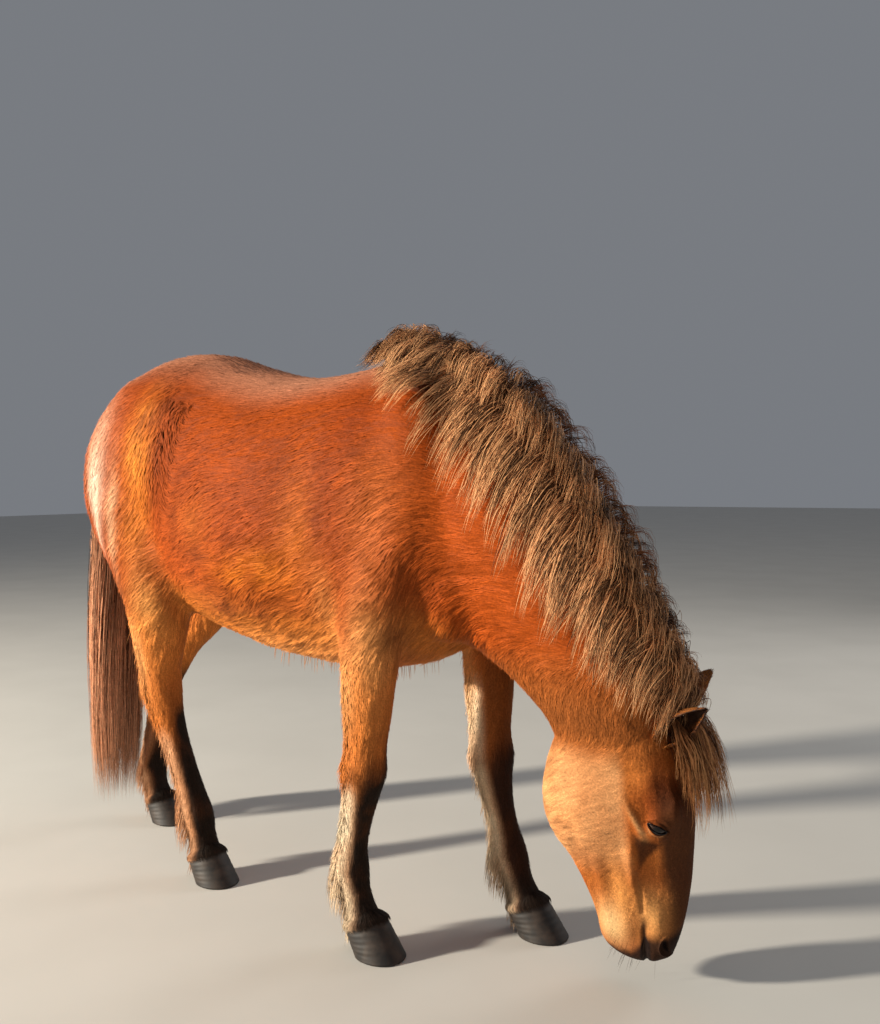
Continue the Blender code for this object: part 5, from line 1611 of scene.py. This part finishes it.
def eye_axes(side):
    """The eye's centre, its outward look, its lift and its direction from back corner to front."""
    look = head_way(EYE_LOOK, side).normalized()
    corner = head_way(EYE_CORNER, side)
    corner = (corner - look * corner.dot(look)).normalized()
    lift = head_way(EYE_LIFT)
    lift = (lift - look * lift.dot(look) - corner * lift.dot(corner)).normalized()
    return on_head(EYE, side), look, lift, corner


def make_eye(name, side):
    """Dark eyeball with a bulging cornea over a wide lying pupil."""
    centre, look, lift, corner = eye_axes(side)
    made = bmesh.new()
    bmesh.ops.create_uvsphere(made, u_segments=72, v_segments=48, radius=EYE_RADIUS)
    turn = Matrix((corner, lift, look)).transposed().to_4x4()
    bmesh.ops.transform(made, verts=made.verts, matrix=Matrix.Translation(centre) @ turn)
    for vert in made.verts:
        away = (vert.co - centre).normalized()
        vert.co += away * CORNEA_BULGE * max(0.0, away.dot(look) - 0.75) / 0.25
    bmesh.ops.recalc_face_normals(made, faces=made.faces)
    obj = smooth_object(made, name)
    points = points_of(obj)
    away = (points - np.array(centre)) / EYE_RADIUS
    u, v = away @ np.array(corner), away @ np.array(lift)
    pupil = 1 - ramp((u / 0.42) ** 2 + (v / 0.24) ** 2, 0.80, 1.15)
    ring, turned = np.hypot(u, v), np.arctan2(v, u)
    fibres = 0.5 + 0.5 * np.sin(turned * 34) * np.sin(turned * 9 + 1)
    painted(obj, layered(evenly("#1d0e07", len(points)), (
        ("#33190b", fibres * ramp(ring, 0.3, 0.6)),
        ("#1d130e", ramp(ring, 0.68, 0.80)),
        ("#030202", pupil),
    )))
    return obj


def make_lids(name, side):
    """The lids' wet dark rims, one closed roll round the almond opening."""
    centre, look, lift, corner = eye_axes(side)
    rings = []
    for a in np.linspace(0, 2 * math.pi, 145)[:-1]:
        u, v = lid_line(a)
        angle = math.hypot(u, v)
        out = (corner * u + lift * v) / angle
        ring = []
        for b in np.linspace(0, 2 * math.pi, 13)[:-1]:
            tilt = angle + 0.055 + 0.105 * math.cos(b)
            reach = EYE_RADIUS + 0.0012 + 0.0022 * math.sin(b)
            ring.append(centre + (out * math.sin(tilt) + look * math.cos(tilt)) * reach)
        rings.append(ring)
    made = bmesh.new()
    verts = [[made.verts.new(p) for p in ring] for ring in rings]
    for first, second in zip(verts, verts[1:] + verts[:1]):
        for k in range(len(first)):
            after = (k + 1) % len(first)
            made.faces.new((first[k], second[k], second[after], first[after]))
    bmesh.ops.recalc_face_normals(made, faces=made.faces)
    if made.calc_volume(signed=True) < 0:
        bmesh.ops.reverse_faces(made, faces=made.faces)
    obj = smooth_object(made, name)
    painted(obj, evenly("#120a08", len(obj.data.vertices)))
    return obj


def lashes(name, side, chance):
    """Two rows of stiff hairs along the upper lid's rim."""
    centre, look, lift, corner = eye_axes(side)
    found, outs = [], []
    for k in range(LASHES):
        u, v = lid_line(math.pi * (0.12 + 0.76 * (k + 0.5) / LASHES))
        v += 0.06 + 0.04 * (k % 2)
        direction = (corner * u + lift * v + look * math.sqrt(max(0.05, 1 - u * u - v * v))).normalized()
        root = centre + direction * (EYE_RADIUS + 0.0022)
        way = (look * 0.95 + lift * 0.25 + corner * 0.45 * u).normalized()
        reach = 0.0085 * chance.uniform(0.6, 1.1)
        bend = (lift * -0.25 + look * 0.1 + Vector((0, 0, -0.2))) * reach
        found.append([tuple(root + way * reach * t + bend * t * t) for t in np.linspace(0, 1, HAIR_STEPS)])
        outs.append([tuple(lift)] * HAIR_STEPS)
    colours = np.tile(linear("#0c0807"), (LASHES, HAIR_STEPS, 1))
    places = np.tile(np.array([[0.9, 0.9]]), (LASHES, 1))
    girths = np.full(LASHES, FINE_HAIR_GIRTH)
    return strands(name, np.array(found), girths, np.array(outs), colours, places)


def whiskers(skin_tree, chance):
    """Long single hairs on the lips and chin."""
    found, outs = [], []
    for k in range(WHISKERS):
        side = -1 if k % 2 else 1
        down, across = chance.uniform(0.44, 0.525), chance.uniform(0.01, 0.06)
        near, out, _, _ = skin_tree.find_nearest(on_head((down, across, chance.uniform(-0.15, -0.06)), side))
        way = (out * 0.9 + head_way((0.5, 0, -0.3))).normalized()
        reach = chance.uniform(0.012, 0.035)
        sag = Vector((0, 0, -0.25)) * reach
        path = [near + way * reach * t + sag * t * t for t in np.linspace(0, 1, HAIR_STEPS)]
        found.append([(p.x, p.y, max(p.z, FLOOR_CLEARANCE)) for p in path])
        outs.append([tuple(out)] * HAIR_STEPS)
    paths = np.array(found)
    colours = np.tile(linear("#3a2a20"), (WHISKERS, HAIR_STEPS, 1))
    girths = np.full(WHISKERS, FINE_HAIR_GIRTH)
    return strands("whiskers", paths, girths, np.array(outs), colours, unwrapped(paths[:, 0]))


def photograph_view():
    """Camera at the photograph's eye point, turned, tilted and rolled as it was held."""
    camera = linked("camera", bpy.data.cameras.new("camera"))
    turn, tilt, roll = VIEW_TURN, VIEW_TILT, VIEW_ROLL
    ahead = Vector((math.cos(tilt) * math.sin(turn), math.cos(tilt) * math.cos(turn), -math.sin(tilt)))
    right = Vector((math.cos(turn), -math.sin(turn), 0))
    up = right.cross(ahead)
    right, up = right * math.cos(roll) + up * math.sin(roll), up * math.cos(roll) - right * math.sin(roll)
    turned = Matrix((right, up, -ahead)).transposed().to_4x4()
    camera.matrix_world = Matrix.Translation(Vector(EYE_POINT) + SHIFT) @ turned
    camera.data.sensor_fit = "VERTICAL"
    camera.data.sensor_height = SENSOR_HEIGHT
    camera.data.lens = SENSOR_HEIGHT * FOCAL_HEIGHTS
    camera.data.clip_end = 60
    bpy.context.scene.camera = camera


def light(name, place, aim, size, power, colour):
    """Round soft light at a place, turned to what it lights."""
    data = bpy.data.lights.new(name, "AREA")
    data.shape = "DISK"
    data.size = size
    data.energy = power
    data.color = colour
    obj = linked(name, data)
    obj.location = place
    obj.rotation_euler = (Vector(aim) - Vector(place)).to_track_quat("-Z", "Y").to_euler()


def studio():
    """Pale floor, faint sky and three soft lights, the strongest low and warm as the photograph's sun."""
    made = bmesh.new()
    bmesh.ops.create_grid(made, x_segments=2, y_segments=2, size=30)
    floor = object_of(made, "floor")
    floor.location.z = -0.001
    # matte paint in two close greys, rolled in broad patches
    paint = clouded_material("floor_paint", "#c9c6c0", "#c4c1bb", FLOOR_GRAIN, {"Roughness": 0.85})
    floor.data.materials.append(paint)
    world = bpy.context.scene.world or bpy.data.worlds.new("world")
    bpy.context.scene.world = world
    world.use_nodes = True
    sky = world.node_tree.nodes["Background"]
    sky.inputs["Color"].default_value = (0.86, 0.91, 1.0, 1)
    sky.inputs["Strength"].default_value = 0.22
    for lamp in LIGHTS:
        light(*lamp)
    bpy.context.scene.view_settings.view_transform = "Standard"


def nostril_place(local, side):
    """Distance from the nostril's rim line, in the shape of a comma, and how deep it may go."""
    spot = local - np.array(NOSTRIL) * (1, side, 1)
    bent = spot[:, 2] - 14 * (spot[:, 0] + 0.004) ** 2 + 0.002
    off = (side * local[:, 1] - 0.057) / 0.020
    return np.sqrt((spot[:, 0] / 0.018) ** 2 + (bent / 0.0062) ** 2 + off**2)


def mouth_height(along):
    """Where the line between the lips runs, in the head's frame."""
    return -0.073 - 0.04 * (along - 0.40)


def refined(body):
    """Finer faces over the front of the head, and finer still round the eyes."""
    mesh = bmesh.new()
    mesh.from_mesh(body.data)
    for near_eye in (False, True):
        bmesh.ops.triangulate(mesh, faces=[f for f in mesh.faces if len(f.verts) > 3])
        mesh.verts.ensure_lookup_table()
        points = np.array([v.co[:] for v in mesh.verts])
        fine = (along_head(points)[:, 0] > 0.11) & (head_share(points) > 0.5)
        if near_eye:
            fine &= lid_spread(points) < 0.75
        edges = [e for e in mesh.edges if fine[e.verts[0].index] and fine[e.verts[1].index]]
        bmesh.ops.subdivide_edges(mesh, edges=edges, cuts=1, use_grid_fill=True)
    bmesh.ops.triangulate(mesh, faces=[f for f in mesh.faces if len(f.verts) > 3])
    mesh.to_mesh(body.data)
    mesh.free()
    points = points_of(body)
    weigh(body, "face", np.clip(head_share(points), 0, 1) * (along_head(points)[:, 0] > 0.10))
    smooth = body.modifiers.new("even", "SMOOTH")
    smooth.iterations = 6
    smooth.vertex_group = "face"
    applied(body)


def carve_fine(body):
    """Folds round the eye, lids over the eyeball, the cheekbone's edge, the nostrils and the lips."""
    points, normals = points_of(body), normals_of(body)
    local = along_head(points)
    rise = np.zeros(len(points))
    for side in (-1, 1):
        for centre, reach, height in FINE_FORMS:
            rise += height * blot(local, np.array(centre) * (1, side, 1), reach)
        hole = nostril_place(local, side)
        near = ramp(side * local[:, 1], 0.012, 0.030)
        rise -= 0.012 * np.exp(-(hole**2.6)) * near
        rise += 0.0030 * bell(hole - 1.45, 0.38) * near
    beside = ramp(np.abs(local[:, 1]), 0.030, 0.055)
    ridge = ramp(local[:, 0], 0.115, 0.165) * bell(along_line(local, *CHEEK_RIDGE), 0.0090)
    rise += 0.0050 * beside * ridge
    rise -= 0.0035 * beside * bell(along_line(local, *FACE_FOLD), 0.0050)
    points += normals * (rise * head_share(points))[:, None]
    for side in (-1, 1):
        centre = np.array(eye_axes(side)[0])
        reach, spread, height = around_eye(points, side)
        upper = np.clip(height, 0, 1) ** 0.5
        lid = EYE_RADIUS + LID_HEIGHT - 0.0021 * upper * bell(spread - LID_CREASE, 0.07)
        lid = lid + 0.0030 * upper * bell(spread - 0.66, 0.12)
        lid = lid - 0.0008 * (1 - upper) * bell(spread - 0.50, 0.07)
        new = reach + (lid - reach) * (1 - ramp(spread, 0.34, 1.0))
        new = new + (EYE_RADIUS - 0.0035 - new) * (1 - ramp(spread, 0.00, 0.10))
        points = centre + (points - centre) * np.where(spread < 1, new / reach, 1)[:, None]
    reshaped(body, points)


def streaks(points, ways, grain):
    """Fine light and dark drawn out along the lie of the hair, from about -1 to 1."""
    total = sum(cloud(points + ways * (grain * 0.5 * k), grain, 41) for k in range(-5, 6))
    return np.clip(total * 0.30, -1.3, 1.3)


def lid_line(angle):
    """The almond opening: across and up, in radians seen from the eye's centre, for an angle round it."""
    across, up = math.cos(angle), math.sin(angle)
    height = OPENING_HEIGHTS[0] if up > 0 else OPENING_HEIGHTS[1]
    return across, height * abs(up) ** 0.9 * (1 if up > 0 else -1) * (1 - 0.12 * across) + 0.02


def long_hair(tree, chance):
    """Mane, forelock and tail hair as finished pieces."""
    falling, loose = mane(tree, chance)
    guides = (falling, loose, forelock(tree, chance), tail_guides(chance))
    dark, brown = linear(HAIR_DARK), linear(HAIR_BROWN)
    tints = (
        (dark, brown, linear(HAIR_BLOND)),
        # crest locks darker: painted shade on the crest, which is turned from the light
        (dark, brown * 0.6, brown),
        (dark, brown, linear(FORELOCK_TIP)),
        (dark * 0.8, linear(TAIL_BROWN), linear(TAIL_RED)),
    )
    pieces = []
    for (name, (per, spread, girth, shorter)), found, tint in zip(LOCKS.items(), guides, tints):
        paths, outs, pick = combed(*found, per[1], spread, chance, shorter)
        colours = hair_colours(len(paths), paths.shape[1], chance, *tint, pick)
        pieces += split_strands(name, paths, girth * chance.uniform(0.6, 1.3, len(paths)), outs, colours)
    return pieces


def along_line(local, first, last):
    """Distance from a line between two points on the side of the head, given down the face and out of it."""
    start, end = np.array(first), np.array(last)
    spot = local[:, [0, 2]] - start
    share = np.clip(spot @ (end - start) / ((end - start) @ (end - start)), 0, 1)
    return np.linalg.norm(spot - share[:, None] * (end - start), axis=1)


def inside_lines(local, corners):
    """How far inside a shape with straight sides, seen from the side of the head, each point lies."""
    inside = np.full(len(local), 1.0)
    for (x, z), (x2, z2) in zip(corners, corners[1:] + corners[:1]):
        length = math.hypot(x2 - x, z2 - z)
        inside = np.minimum(inside, ((local[:, 0] - x) * (z2 - z) - (local[:, 2] - z) * (x2 - x)) / length)
    return inside


def around_eye(points, side):
    """Each point's distance from the eye's centre, how far out over the lids it lies, and its height."""
    centre, look, lift, corner = (np.array(v) for v in eye_axes(side))
    away = points - centre
    reach = np.linalg.norm(away, axis=1)
    away = away / reach[:, None]
    turn = np.arctan2(away @ lift, away @ corner)
    line = np.array([lid_line(a) for a in np.linspace(0, 2 * math.pi, 181)[:-1]])
    turns, widths = np.arctan2(line[:, 1], line[:, 0]), np.hypot(line[:, 0], line[:, 1])
    inner = np.interp(turn, turns, widths, period=2 * math.pi)
    spread = (np.arccos(np.clip(away @ look, -1, 1)) - inner) / (LID_REACH - inner)
    return reach, np.where(reach < 0.055, spread, 9.0), np.sin(turn)


def dress_body(chance, finish):
    """The hide with its coat, the mane, forelock, tail and whiskers, and the longer hair of the legs."""
    skin = make_skin()
    tree = skin_of(skin)
    painted(skin, coat_colour(points_of(skin), normals_of(skin)) * HIDE_SHADE)
    for piece in coat(skin, chance):
        worn(piece, piece.name, finish["coat"], "coat")
    dock = make_dock()
    painted(dock, np.tile(linear(HAIR_DARK) * 0.6, (len(dock.data.vertices), 1)))
    worn(dock, "dock", finish["hair"], "hair", "tail")
    hairs = (*long_hair(tree, chance), *leg_hair(skin, chance), *coronet_hair(tree, chance))
    for piece in (*hairs, whiskers(tree, chance)):
        worn(piece, piece.name, finish["hair"], "hair")
    legs = ("foreleg_right", "foreleg_left", "hind_leg_right", "hind_leg_left")
    worn(skin, "skin", finish["coat"], "coat", "torso", "neck", "head", *legs)


def dress_side(side, sign, chance, finish):
    """Hooves, ear, eye, lids and lashes of one side."""
    for kind, joints in (("forehoof_", FORE_JOINTS), ("hind_hoof_", HIND_JOINTS)):
        name = "horn_" + kind + side
        worn(make_hoof(name, joints[side]), name, finish["horn"], "horn", kind + side)
    shell, axis, opening = make_ear("ear_shell_" + side, sign)
    fur = ear_fur("ear_fur_" + side, shell, axis, opening, chance)
    worn(shell, "ear_shell_" + side, finish["ear"], "coat", "ear_" + side)
    worn(fur, "ear_fur_" + side, finish["coat"], "coat")
    worn(make_eye("eyeball_" + side, sign), "eyeball_" + side, finish["eye"], "eye", "eye_" + side)
    worn(make_lids("eyelids_" + side, sign), "eyelids_" + side, finish["eye"], "coat")
    worn(lashes("lashes_" + side, sign, chance), "lashes_" + side, finish["hair"], "hair")


def main():
    """Dresses the horse from its hide out to its lashes, and sets up the studio and the view."""
    chance = np.random.default_rng(SEED)
    finish = finishes()
    dress_body(chance, finish)
    for side, sign in (("right", -1), ("left", 1)):
        dress_side(side, sign, chance, finish)
    studio()
    photograph_view()


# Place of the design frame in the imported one, read from the solid of the left eye
low, high = (Vector(corner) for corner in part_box("eye_left"))
SHIFT = (low + high) / 2 - on_head(EYE)
main()
